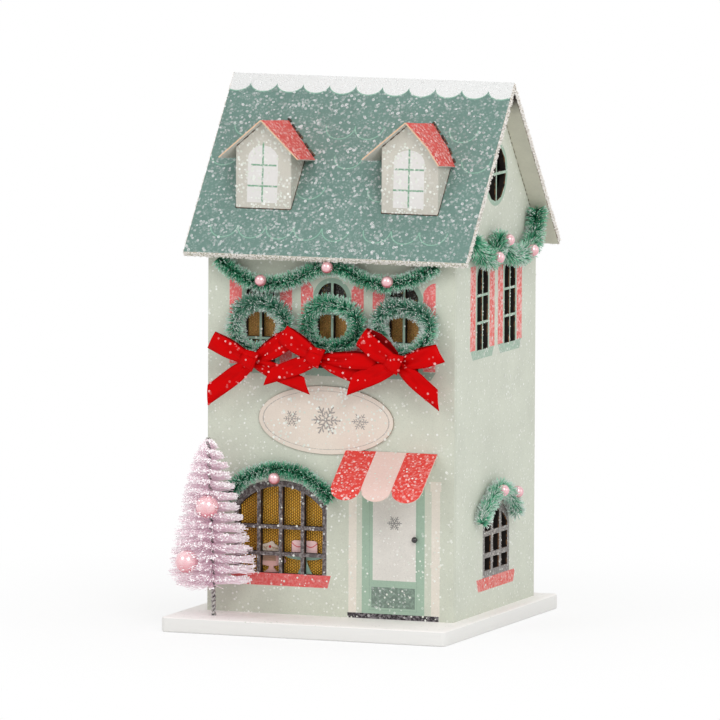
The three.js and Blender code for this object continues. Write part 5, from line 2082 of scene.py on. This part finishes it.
@dataclass
class Pearls:
    """Pink pearls, each turned as a drilled bead."""

    small_radius: float = 2.4
    large_radius: float = 4.6
    hole: float = math.radians(9)
    dent: float = 0.55
    coat: bpy.types.Material = field(init=False)
    pale: bpy.types.Material = field(init=False)

    def build(self) -> None:
        """Makes the coats of the small and the large pearls."""
        self.coat = PearlCoat("garland_pearl_coat", rgb(222, 142, 152), rgb(238, 182, 187)).material()
        self.pale = PearlCoat("tree_pearl_coat").material()

    def small(self, name: str, centre: Point) -> None:
        """Makes a garland pearl."""
        self.bead(name, at(*centre), self.small_radius, 20, self.coat, "pearl")

    def large(self, name: str, centre: Vector) -> None:
        """Makes a tree pearl at a place in metres."""
        self.bead(name, centre, self.large_radius, 28, self.pale, "pearl")

    def bead(
        self, name: str, centre: Vector, size: float, sides: int, coat: bpy.types.Material, slot: str,
    ) -> None:
        """Makes one bead with dents where the hole is drilled, its axis upright.

        Args:
            name: The solid that it stands for.
            centre: Its middle, in metres.
            size: Its radius in millimetres.
            sides: How many sides it has.
            coat: Its material.
            slot: The name of a material slot, handed on.
        """
        steps = sides // 2
        points: list[Vector] = []
        for step in range(steps + 1):
            bend = self.hole + (math.pi - 2 * self.hole) * step / steps
            reach, height = math.sin(bend), math.cos(bend)
            for k in range(sides):
                turn = 2 * math.pi * k / sides
                spot = Vector((reach * math.cos(turn), reach * math.sin(turn), height))
                points.append(centre + spot * size * MM)
        faces = tube_faces(steps + 1, sides)
        for height, ring in ((self.dent, 0), (-self.dent, steps)):
            points.append(centre + Vector((0.0, 0.0, height * size * MM)))
            tip = len(points) - 1
            loop = [ring * sides + k for k in range(sides)]
            turned = zip(loop[1:] + loop[:1], loop) if ring == 0 else zip(loop, loop[1:] + loop[:1])
            faces += [(a, b, tip) for a, b in turned]
        piece = new_piece(name + "_bead", points, [tuple(reversed(face)) for face in faces])
        finish_piece(piece, coat, slot, name)


Edge = tuple[float, float, float, float, float, float]
Corners = tuple[float, float, float, float]


@dataclass
class Bow:
    """One tied ribbon bow, from edge points seen on its loops and tails."""

    name: str
    knot: tuple[float, float]
    left_fold: Corners
    right_fold: Corners
    left_tail: Corners
    right_tail: Corners
    left_open: float = 0.6
    right_open: float = 0.6
    seen_depth: float = 5.0
    across_shift: float = 0.383
    height_shift: float = 0.117
    bulge: float = 0.7

    def spot(self, across: float, height: float, out: float) -> Point:
        """Moves a point seen at one depth to the same line of sight at another."""
        drift = out - self.seen_depth
        return (across + drift * self.across_shift, FRONT - out, height + drift * self.height_shift)

    def aside(self, reach: Vector) -> Vector:
        """Gives the upward direction across a run of ribbon."""
        aside = Vector((-reach.y, reach.x)).normalized()
        return -aside if aside.y < 0 else aside

    def strip(
        self, name: str, stations: Sequence[Edge], crease: Sequence[float], steps: int = 8, wide: int = 12,
        inner: Sequence[float] | None = None,
    ) -> bpy.types.Object:
        """Makes a run of ribbon between two edges.

        Args:
            name: The piece's name.
            stations: At each station, both edges as across, height and distance from the wall.
            crease: How far the folds stand out at each station, in millimetres.
            steps: Steps between stations.
            wide: Cells across the ribbon.
            inner: How much painted shade each station takes inside a loop, from 0 to 1, or None for none.

        Returns:
            The ribbon, with a map of it called ribbon.
        """
        inner = inner or [0.0] * len(stations)
        known = zip(stations, crease, inner)
        line = smooth_line([(*station, fold, loop_shade) for station, fold, loop_shade in known], steps)
        points, spans, loop_shades = [], [0.0], []
        for row, (ax, az, ao, bx, bz, bo, fold, loop_shade) in enumerate(line):
            first, last = Vector(self.spot(ax, az, ao)), Vector(self.spot(bx, bz, bo))
            for cell in range(wide + 1):
                share = cell / wide
                wave = fold * math.sin(share * 3 * math.pi + row * 0.05)
                lift = (wave + self.bulge) * math.sin(share * math.pi)
                loop_shades.append(loop_shade)
                spot = first.lerp(last, share) + Vector((0.0, -lift, 0.0))
                points.append(at(*spot))
            if row:
                spans.append(spans[-1] + (points[-1 - wide // 2] - points[-2 - wide - wide // 2]).length / MM)
        piece = new_piece(name, points, sheet_faces(len(line) - 1, wide, True))
        # The inner values are painted shade, read by the satin.
        keep_values(piece.data, "inner", [min(1.0, max(0.0, loop_shade)) for loop_shade in loop_shades])
        layout = piece.data.uv_layers.new(name="ribbon")
        for loop in piece.data.loops:
            row, cell = divmod(loop.vertex_index, wide + 1)
            layout.data[loop.index].uv = (cell / wide, spans[row])
        return piece

    def loop(self, name: str, fold: Corners, front: float, open_by: float) -> bpy.types.Object:
        """Makes a loop from the knot out to its fold and back behind.

        Args:
            name: The piece's name.
            fold: The upper and lower end of the fold.
            front: The front layer's distance from the wall at its fullest.
            open_by: How far the back layer shows above the front one.

        Returns:
            The loop.
        """
        knot, upper, lower = Vector(self.knot), Vector(fold[:2]), Vector(fold[2:])
        middle = (upper + lower) / 2
        reach = middle - knot
        aside = self.aside(reach)
        half = (upper - lower).length / 2
        stations: list[Edge] = []
        layout = (
            (0.0, 0.5, front - 1.2, 0.0), (0.22, 0.72, front - 0.1, 0.0), (0.55, 0.96, front + 0.9, -0.2),
            (0.85, 1.0, front + 0.5, 0.0), (0.985, 1.0, front - 0.5, 0.1), (1.0, 1.0, front - 1.3, 0.25),
            (0.95, 1.0, front - 2.1, 0.5), (0.6, 0.98, front - 2.6, 1.0), (0.25, 0.75, front - 2.3, 0.8),
            (0.0, 0.5, front - 1.8, 0.3),
        )
        for share, full, out, rise in layout:
            spot = knot + reach * share + aside * rise * open_by
            swing = aside.lerp((upper - middle).normalized(), share).normalized() * half * full
            stations.append((*(spot + swing), out, *(spot - swing), out))
        crease = (1.2, 1.0, 0.35, 0.1, 0.0, 0.0, 0.0, 0.2, 0.6, 0.8)
        # Painted shade inside the loop, darkest on its back layer.
        inner = (0.3, 0.1, 0.0, 0.0, 0.0, 0.3, 1.0, 1.0, 1.0, 1.0)
        return self.strip(name, stations, crease, 6, inner=inner)

    def tail(self, name: str, end: Corners, out: float, half: float = 3.9) -> bpy.types.Object:
        """Makes a tail from the knot to its slanting cut.

        Args:
            name: The piece's name.
            end: The upper and lower corner of the cut.
            out: The tail's distance from the wall.
            half: Half the ribbon's width.

        Returns:
            The tail.
        """
        knot, upper, lower = Vector(self.knot), Vector(end[:2]), Vector(end[2:])
        aside = self.aside((upper + lower) / 2 - knot)
        stations: list[Edge] = []
        layout = ((0.0, 0.45, 0.3), (0.18, 0.7, 0.7), (0.4, 0.95, 0.4), (0.7, 1.0, -0.3), (1.0, 1.0, 0.5))
        for share, full, lift in layout:
            top = (knot + aside * half * full).lerp(upper, share)
            low = (knot - aside * half * full).lerp(lower, share)
            stations.append((top.x, top.y, out + lift + 0.25, low.x, low.y, out + lift - 0.25))
        return self.strip(name, stations, (1.0, 0.9, 0.4, 0.15, 0.0), 7)

    def wrap(self, name: str, out: float) -> bpy.types.Object:
        """Makes the band tied round the middle.

        Args:
            name: The piece's name.
            out: The middle's distance from the wall.

        Returns:
            The band.
        """
        kx, kz = self.knot
        top, low = ((-3.46, 4.96), (2.74, 3.71)), ((-6.86, -0.49), (-0.46, -3.89))
        stations: list[Edge] = []
        for step in range(17):
            turn = 2 * math.pi * step / 16 + 0.3
            share = 0.5 + 0.5 * math.sin(turn)
            depth = out + 2.3 * math.cos(turn)
            (ax, az), (bx, bz) = (
                (x + (u - x) * share, z + (v - z) * share) for (u, v), (x, z) in zip(top, low)
            )
            stations.append((kx + ax, kz + az, depth, kx + bx, kz + bz, depth))
        return self.strip(name, stations, [0.15] * 17, 4)

    def build(self, satin: bpy.types.Material) -> bpy.types.Object:
        """Makes the bow.

        Args:
            satin: The ribbon's material.

        Returns:
            The bow.
        """
        parts = [
            self.loop("left_loop", self.left_fold, 11.2, self.left_open),
            self.loop("right_loop", self.right_fold, 9.4, self.right_open),
            self.tail("left_tail", self.left_tail, 9.9),
            self.tail("right_tail", self.right_tail, 8.4),
            self.wrap("knot", 9.9),
        ]
        bow = join_pieces(f"bow_{self.name}_ribbon", parts)
        solidify(bow, 0.22, 0.0)
        return finish_piece(bow, satin, "ribbon", f"bow_{self.name}")


@dataclass
class Bows:
    """The three red bows under the wreaths."""

    scatter: Scatter

    def build(self) -> None:
        """Makes the bows and the flakes on them."""
        satin = Satin().material()
        bows = (
            Bow("left", (-31.2, 107.1), (-47.3, 118.4, -50.6, 111.8), (-17.6, 120.6, -13.6, 114.0),
                (-50.6, 97.2, -50.5, 88.9), (-9.3, 101.9, -7.0, 95.1)),
            Bow("middle", (-3.1, 109.5), (-16.6, 122.0, -20.7, 115.4), (20.9, 112.5, 22.4, 106.0),
                (-23.5, 105.3, -26.8, 97.9), (18.4, 104.6, 16.4, 99.0)),
            Bow("right", (30.4, 108.3), (16.8, 121.9, 12.4, 115.4), (46.4, 117.2, 50.2, 110.4),
                (11.4, 104.5, 8.6, 95.4), (47.3, 99.4, 47.9, 90.9), left_open=2.6),
        )
        for index, bow in enumerate(bows):
            piece = bow.build(satin)
            self.scatter.over(
                f"bow_{bow.name}_flakes", piece, facing((0, -1, 0), 0.55), "ribbon", 0.15, 0.46,
                seed=70 + index, finish=self.scatter.faint, drift=1.0,
            )


@dataclass
class Awning:
    """The bent card over the door, with round scallops."""

    scatter: Scatter
    left: float = 6.8
    width: float = 38.7
    scallops: int = 3
    bulge: float = 5.3
    card: float = 0.8
    profile: tuple[tuple[float, float], ...] = (
        (0.5, 73.1), (6.4, 68.7), (12.5, 64.0), (17.0, 60.3), (19.0, 57.4), (19.7, 55.4),
    )

    def build(self) -> None:
        """Makes the awning and its glue tab."""
        line = smooth_line(self.profile, 8)
        lengths = [0.0]
        for before, after in zip(line, line[1:]):
            lengths.append(lengths[-1] + math.dist(before, after))
        total = lengths[-1]
        cells, rows = 14, 26
        columns = self.scallops * cells
        points = []
        for column in range(columns + 1):
            share = (column % cells) / cells
            drop = self.bulge * math.sqrt(max(0.0, 1 - (2 * share - 1) ** 2))
            reach = total - self.bulge + drop
            across = self.left + self.width * column / columns
            for row in range(rows + 1):
                points.append(at(across, *self.spot(line, lengths, reach * row / rows)))
        piece = new_piece("awning_card", points, sheet_faces(columns, rows))
        keep_values(piece.data, "side", [1.0] * len(points))
        self.thicken(piece)
        finish_piece(piece, AwningStripes().material(), "awning_card", "awning")

        def top(middle: Vector, normal: Vector) -> bool:
            """Keeps the printed side."""
            return normal.z > 0.25 or normal.y < -0.8

        def coral(middle: Vector, normal: Vector) -> bool:
            """Keeps the printed side of the coral stripes."""
            return top(middle, normal) and abs(middle.x - self.left - self.width / 2) > self.width / 6

        self.scatter.over(
            "awning_flakes", piece, coral, "awning_card", 0.5, 0.46,
            seed=81, finish=self.scatter.rosy, drift=0.4,
        )
        self.scatter.over(
            "awning_white_flakes", piece, top, "awning_card", 0.06, 0.42,
            seed=82, finish=self.scatter.white, drift=0.5,
        )
        self.tab()

    def spot(self, line: list[list[float]], lengths: list[float], reach: float) -> tuple[float, float]:
        """Finds the depth and height at a length along the profile."""
        outs, heights = zip(*line)
        return FRONT - read_off(list(zip(lengths, outs)), reach), read_off(list(zip(lengths, heights)), reach)

    def thicken(self, piece: bpy.types.Object) -> None:
        """Gives the sheet the card's thickness, with its cut edge and back marked.

        Args:
            piece: The sheet. Its points carry 1 on the printed side.
        """
        shape = bmesh.new()
        shape.from_mesh(piece.data)
        bmesh.ops.recalc_face_normals(shape, faces=shape.faces)
        shape.normal_update()
        if sum(face.normal.z for face in shape.faces) < 0:
            bmesh.ops.reverse_faces(shape, faces=shape.faces)
        layer = shape.verts.layers.float["side"]
        front = list(shape.faces)
        copy = bmesh.ops.duplicate(shape, geom=shape.verts[:] + shape.edges[:] + front)
        twins = [item for item in copy["geom"] if isinstance(item, bmesh.types.BMVert)]
        back = [item for item in copy["geom"] if isinstance(item, bmesh.types.BMFace)]
        shape.normal_update()
        for vert in twins:
            vert[layer] = 0.0
        moves = {vert: vert.normal.copy() for vert in twins}
        for vert, normal in moves.items():
            vert.co -= normal * self.card * MM
        bmesh.ops.reverse_faces(shape, faces=back)
        rims = [edge for edge in shape.edges if edge.is_boundary]
        bmesh.ops.bridge_loops(shape, edges=rims)
        shape.to_mesh(piece.data)
        shape.free()
        piece.data.polygons.foreach_set("use_smooth", [False] * len(piece.data.polygons))

    def tab(self) -> None:
        """Makes the folded glue tab under the awning's top."""
        points = []
        for across in (self.left + 0.4, self.left + self.width - 0.4):
            for out, height in ((0.05, 72.4), (0.75, 72.2), (0.75, 69.0), (0.05, 69.0)):
                points.append(at(across, FRONT - out, height))
        faces = [(0, 1, 2, 3), (7, 6, 5, 4), (0, 4, 5, 1), (1, 5, 6, 2), (2, 6, 7, 3), (3, 7, 4, 0)]
        piece = new_piece("awning_glue_tab", points, faces, False)
        finish_piece(piece, Loose("bare_card", rgb(214, 206, 192), 0.75).material(), "awning_card")


@dataclass
class ShopWindow:
    """The gold cloth behind the windows and the cut-out cakes in the shop window."""

    scatter: Scatter
    wall_back: float = FRONT + 2.6

    def build(self) -> None:
        """Makes the cloths and the cakes."""
        shop = GoldCloth("gold_shop_cloth", (0.0, 90.0), 1.0).material()
        upper = GoldCloth(
            "gold_upper_cloth", (115.2, 128.4), 0.1, gold=rgb(238, 184, 108), deep=rgb(144, 102, 56),
        ).material()
        self.cloth("shop_window_cloth", (-42.1, -0.3), (16.4, 60.2), shop, "shop_window_mesh", 0.16)
        self.cloth("upper_window_cloth", (-39.2, 40.2), (102.4, 142.6), upper, "upper_window_mesh", 0.6)
        heaped = [
            (-22.9, 20.5), (-22.9, 22.2), (-24.2, 22.9), (-25.1, 23.8), (-25.3, 24.7), (-22.6, 25.1),
            (-20.9, 25.8), (-20.06, 26.4), (-20.2, 27.4), (-20.9, 28.4), (-21.5, 29.2), (-20.9, 30.2),
            (-21.2, 31.3), (-22.6, 32.0), (-23.5, 33.0), (-24.6, 33.4), (-25.2, 34.3), (-26.1, 34.7),
            (-27.0, 34.2), (-28.3, 33.6), (-29.3, 33.4), (-30.4, 32.9), (-31.2, 31.9), (-31.9, 31.0),
            (-31.7, 29.8), (-32.3, 28.7), (-32.3, 26.9), (-31.2, 25.6), (-29.4, 24.9), (-27.1, 24.6),
            (-27.4, 23.6), (-28.3, 22.8), (-29.5, 22.2), (-29.5, 20.5),
        ]
        boxed = [
            (-8.8, 20.5), (-8.8, 22.3), (-9.6, 23.6), (-10.3, 25.0), (-10.9, 26.6), (-11.1, 27.6),
            (-7.4, 27.9), (-5.0, 28.4), (-4.1, 28.9), (-6.6, 29.1), (-6.6, 34.5), (-6.9, 35.1),
            (-7.5, 35.45), (-16.5, 35.45), (-17.1, 35.1), (-17.4, 34.5), (-17.4, 29.1), (-19.9, 28.9),
            (-19.0, 28.4), (-16.6, 27.9), (-13.5, 27.6), (-13.5, 25.6), (-13.9, 24.0), (-14.8, 22.3),
            (-14.8, 20.5),
        ]
        self.cake("cake_stand_pink", heaped, HeapedCakePrint().material(), "cutout_pink")
        self.cake("cake_stand_mint", boxed, BoxCakePrint().material(), "cutout_mint")

    def cloth(
        self, name: str, across: tuple[float, float], height: tuple[float, float], finish: bpy.types.Material,
        node: str, flakes: float,
    ) -> None:
        """Makes one slack cloth glued by its rim behind the wall.

        Args:
            name: The piece's name.
            across: Its left and right edge.
            height: Its low and high edge.
            finish: Its material.
            node: The solid that it stands for.
            flakes: How many flakes lie on it.
        """
        cells = 60
        (left, right), (low, high) = across, height
        points = []
        for row in range(cells + 1):
            for cell in range(cells + 1):
                u, v = cell / cells, row / cells
                slack = min(1.0, 8 * min(u, 1 - u), 8 * min(v, 1 - v))
                slack = slack * slack * (3 - 2 * slack)
                wave = 0.15 * math.sin(u * 9 + v * 4) + 0.12 * math.sin(v * 11 - u * 3)
                depth = self.wall_back + 0.1 + slack * (1.0 + 0.3 * wave)
                points.append(at(left + (right - left) * u, depth, low + (high - low) * v))
        piece = new_piece(name, points, sheet_faces(cells, cells, True))
        solidify(piece, 0.12)
        finish_piece(piece, finish, "window_foil", node)
        self.scatter.over(
            name + "_flakes", piece, facing((0, -1, 0), 0.3), "window_foil", flakes, 0.45,
            tilt=0.3, seed=91, finish=self.scatter.gilt,
        )

    def cake(self, node: str, ring: Pairs, finish: bpy.types.Material, slot: str) -> None:
        """Makes one cake card on a footed stand.

        Args:
            node: The solid that it stands for.
            ring: Its outline, across the house and upwards.
            finish: Its print.
            slot: The name of a material slot, handed on.
        """
        back = self.wall_back + 0.6
        points = [at(across, depth, height) for depth in (back - 0.5, back) for across, height in ring]
        count = len(ring)
        faces: list[Sequence[int]] = [tuple(range(count)), tuple(reversed(range(count, 2 * count)))]
        faces += [(k, k + count, (k + 1) % count + count, (k + 1) % count) for k in range(count)]
        piece = new_piece(node + "_card", points, faces, False)
        finish_piece(piece, finish, slot, node)


@dataclass
class BrushTree:
    """The lilac bottle brush tree: twisted wire, tiers of frosted fibres and large pearls."""

    flow: Flow
    pearls: Pearls
    foot: Point = (-43.1, -51.4, 6.0)
    lean: float = math.radians(2.2)
    height: float = 70.4
    bare: float = 12.0
    tier: float = 8.4
    fibres: int = 5200
    widths: tuple[tuple[float, float], ...] = (
        (6.0, 11.0), (12.0, 13.4), (17.0, 17.0), (23.0, 16.1), (28.0, 14.9), (35.5, 13.6), (41.0, 11.5),
        (47.0, 10.9), (52.5, 9.4), (59.0, 7.6), (65.0, 5.4), (70.4, 1.8),
    )

    def turned(self, point: Sequence[float]) -> Vector:
        """Places a point of the upright tree, in metres."""
        spot = Matrix.Rotation(-self.lean, 4, "Y") @ Vector(point)
        return (spot + Vector(self.foot)) * MM

    def build(self) -> None:
        """Makes the tree."""
        steps = 60
        heights = [self.bare + (self.height - self.bare) * step / steps for step in range(steps + 1)]
        mesh = pile_line(
            "tree_line", [self.turned((0, 0, height)) for height in heights],
            [(k, k + 1) for k in range(steps)], [read_off(self.widths, height) for height in heights],
        )
        finish = Pile(
            "lilac_bristle_pile", root=rgb(242, 216, 228), middle=rgb(246, 225, 234), tip=rgb(250, 235, 240),
            frost=rgb(255, 252, 253), frost_from=0.75, frost_share=0.5, rough=0.5, glow=0.1, spread=0.06,
        )
        values = {
            "Fibres": self.fibres, "Turns": -(self.height - self.bare) / self.tier, "Thickness": 0.15 * MM,
            "Tip": 0.9, "Bend": 2.5, "Wander": 0.75, "Lean": 0.07, "Bead": 0.34 * MM, "Beaded": 0.45,
            "Edge": 1.0, "Wall": (0.0, 1.0, 0.0), "Wall at": (FRONT + HOUSE.y - 0.4) * MM,
            "Material": finish.material(),
        }
        piece = self.flow.grow("tree_fibres", mesh, values)
        finish_piece(piece, None, "bristle", *(f"tree_bristles_{index}" for index in (1, 2, 3, 4)))
        self.wire()
        azimuth = math.radians(21)
        for index, (across, forward, height) in enumerate(((-1.2, 7.0, 44.2), (-10.0, 8.0, 22.6))):
            spot = (
                across * math.cos(azimuth) + forward * math.sin(azimuth),
                across * math.sin(azimuth) - forward * math.cos(azimuth),
                height,
            )
            self.pearls.large(f"tree_pearl_{index + 1}", self.turned(spot))

    def wire(self) -> None:
        """Makes the two wires twisted round each other."""
        strands = []
        metal = TwistedWire("tree_twisted_wire", rgb(128, 124, 128), 0.55).material()
        sunk, bare, turn_height, thick = 3.6, 0.6, 3.6, 0.5
        for start in (0.0, math.pi):
            line = []
            for step in range(int((sunk + self.height + bare) * 4) + 1):
                height = step / 4 - sunk
                turn = start + height * 2 * math.pi / turn_height
                spot = self.turned((thick * math.cos(turn), thick * math.sin(turn), height)) / MM - HOUSE
                line.append(tuple(spot))
            strands.append(tube(f"wire_{int(start)}", line, thick, 8))
        piece = join_pieces("tree_wire_twisted", strands)
        finish_piece(piece, metal, "tree_wire", "tree_wire")


@dataclass
class Door:
    """The bead that serves as the door's knob."""

    pearls: Pearls

    def build(self) -> None:
        """Makes the knob."""
        centre = at(36.4, FRONT - 1.35, 38.5)
        self.pearls.bead("door_knob", centre, 1.25, 16, BlackBead().material(), "knob_bead")


@dataclass
class Studio:
    """Pale floor, soft light and the camera."""

    azimuth: float = math.radians(20.9217)
    elevation: float = math.radians(6.1317)
    lens: float = 589.02
    distance: float = 4725.0
    target_height: float = 120.75
    roll: float = math.radians(-0.2604)
    offset: tuple[float, float] = (-5.09, -16.52)

    def build(self) -> None:
        """Makes the studio."""
        self.floor()
        self.world()
        self.lights()
        self.camera()

    def floor(self) -> None:
        """Makes the floor, which keeps the shadow near the object and fades to white."""
        points = [Vector((x, y, 0.0)) for x, y in ((-6, -6), (6, -6), (6, 8), (-6, 8))]
        floor = new_piece("studio_floor", points, [(0, 1, 2, 3)], False)
        shade = Surface("pale_floor")
        grain = shade.noise(shade.place, 0.02, 2.0)
        shade.finish(shade.tint(rgb(250, 250, 250), grain * 0.02 + 0.985), 0.9)
        glow = shade.add("Emission", {"Color": (1.0, 1.0, 1.0), "Strength": 1.0})
        share = (radius(shade.x, shade.y).ease(70.0, 260.0) * 0.25 + 0.75) * shade.seen()
        mixed = shade.add("MixShader", {0: share, 1: shade.shader.outputs[0], 2: glow.outputs[0]})
        output = shade.tree.nodes["Material Output"]
        shade.tree.links.new(mixed.outputs[0], output.inputs[0])
        floor.data.materials.append(shade.material)

    def world(self) -> None:
        """Makes the soft white surroundings."""
        world = bpy.data.worlds.new("studio_world")
        bpy.context.scene.world = world
        world.use_nodes = True
        shade = Shade(world.node_tree)
        back = shade.tree.nodes["Background"]
        feed(shade.tree, back.inputs["Color"], (1.0, 1.0, 1.0))
        feed(shade.tree, back.inputs["Strength"], shade.seen() * 0.32 + 0.68)

    def lights(self) -> None:
        """Makes a key light at the right front and three fills."""
        lamps = (
            ("key", (1.15, -1.4, 1.25), 0.9, 11.35),
            ("left_fill", (-0.95, -1.5, 1.25), 0.8, 5.75),
            ("right_fill", (1.8, 0.2, 0.6), 0.9, 2.2),
            ("top", (0.1, 0.2, 1.7), 0.9, 3.0),
        )
        for name, place, size, power in lamps:
            data = bpy.data.lights.new(name, "AREA")
            data.shape = "DISK"
            data.size = size
            data.energy = power
            lamp = add_object(name, data)
            lamp.location = place
            aim = Vector((0.0, 0.0, 0.11)) - Vector(place)
            lamp.rotation_euler = aim.to_track_quat("-Z", "Y").to_euler()

    def camera(self) -> None:
        """Makes the camera at the photograph's angle."""
        level = math.cos(self.elevation)
        back = Vector((
            math.sin(self.azimuth) * level, -math.cos(self.azimuth) * level, math.sin(self.elevation),
        ))
        right = Vector((math.cos(self.azimuth), math.sin(self.azimuth), 0.0))
        up = back.cross(right)
        cosine, sine = math.cos(self.roll), math.sin(self.roll)
        side = right * cosine - up * sine
        rise = right * sine + up * cosine
        target = at(0.0, 0.0, self.target_height)
        spot = target + (side * self.offset[0] + rise * self.offset[1] + back * self.distance) * MM
        data = bpy.data.cameras.new("camera")
        data.sensor_width = 36.0
        data.lens = self.lens
        data.clip_start = 0.5
        data.clip_end = 30.0
        camera = add_object("camera", data)
        turn = Matrix((side, rise, back)).transposed()
        camera.matrix_world = Matrix.Translation(spot) @ turn.to_4x4()
        bpy.context.scene.camera = camera
        bpy.context.scene.view_settings.view_transform = "Standard"


def main() -> None:
    """Builds the house and its studio."""
    logging.basicConfig(level=logging.INFO, format="%(message)s")
    scatter = Scatter()
    pile = pile_flow()
    pearls = Pearls()
    pearls.build()
    Board(scatter).build()
    ShopWindow(scatter).build()
    Tinsel(pile, pearls).build()
    Bows(scatter).build()
    Awning(scatter).build()
    BrushTree(pile, pearls).build()
    Door(pearls).build()
    Studio().build()


if __name__ == "__main__":
    main()
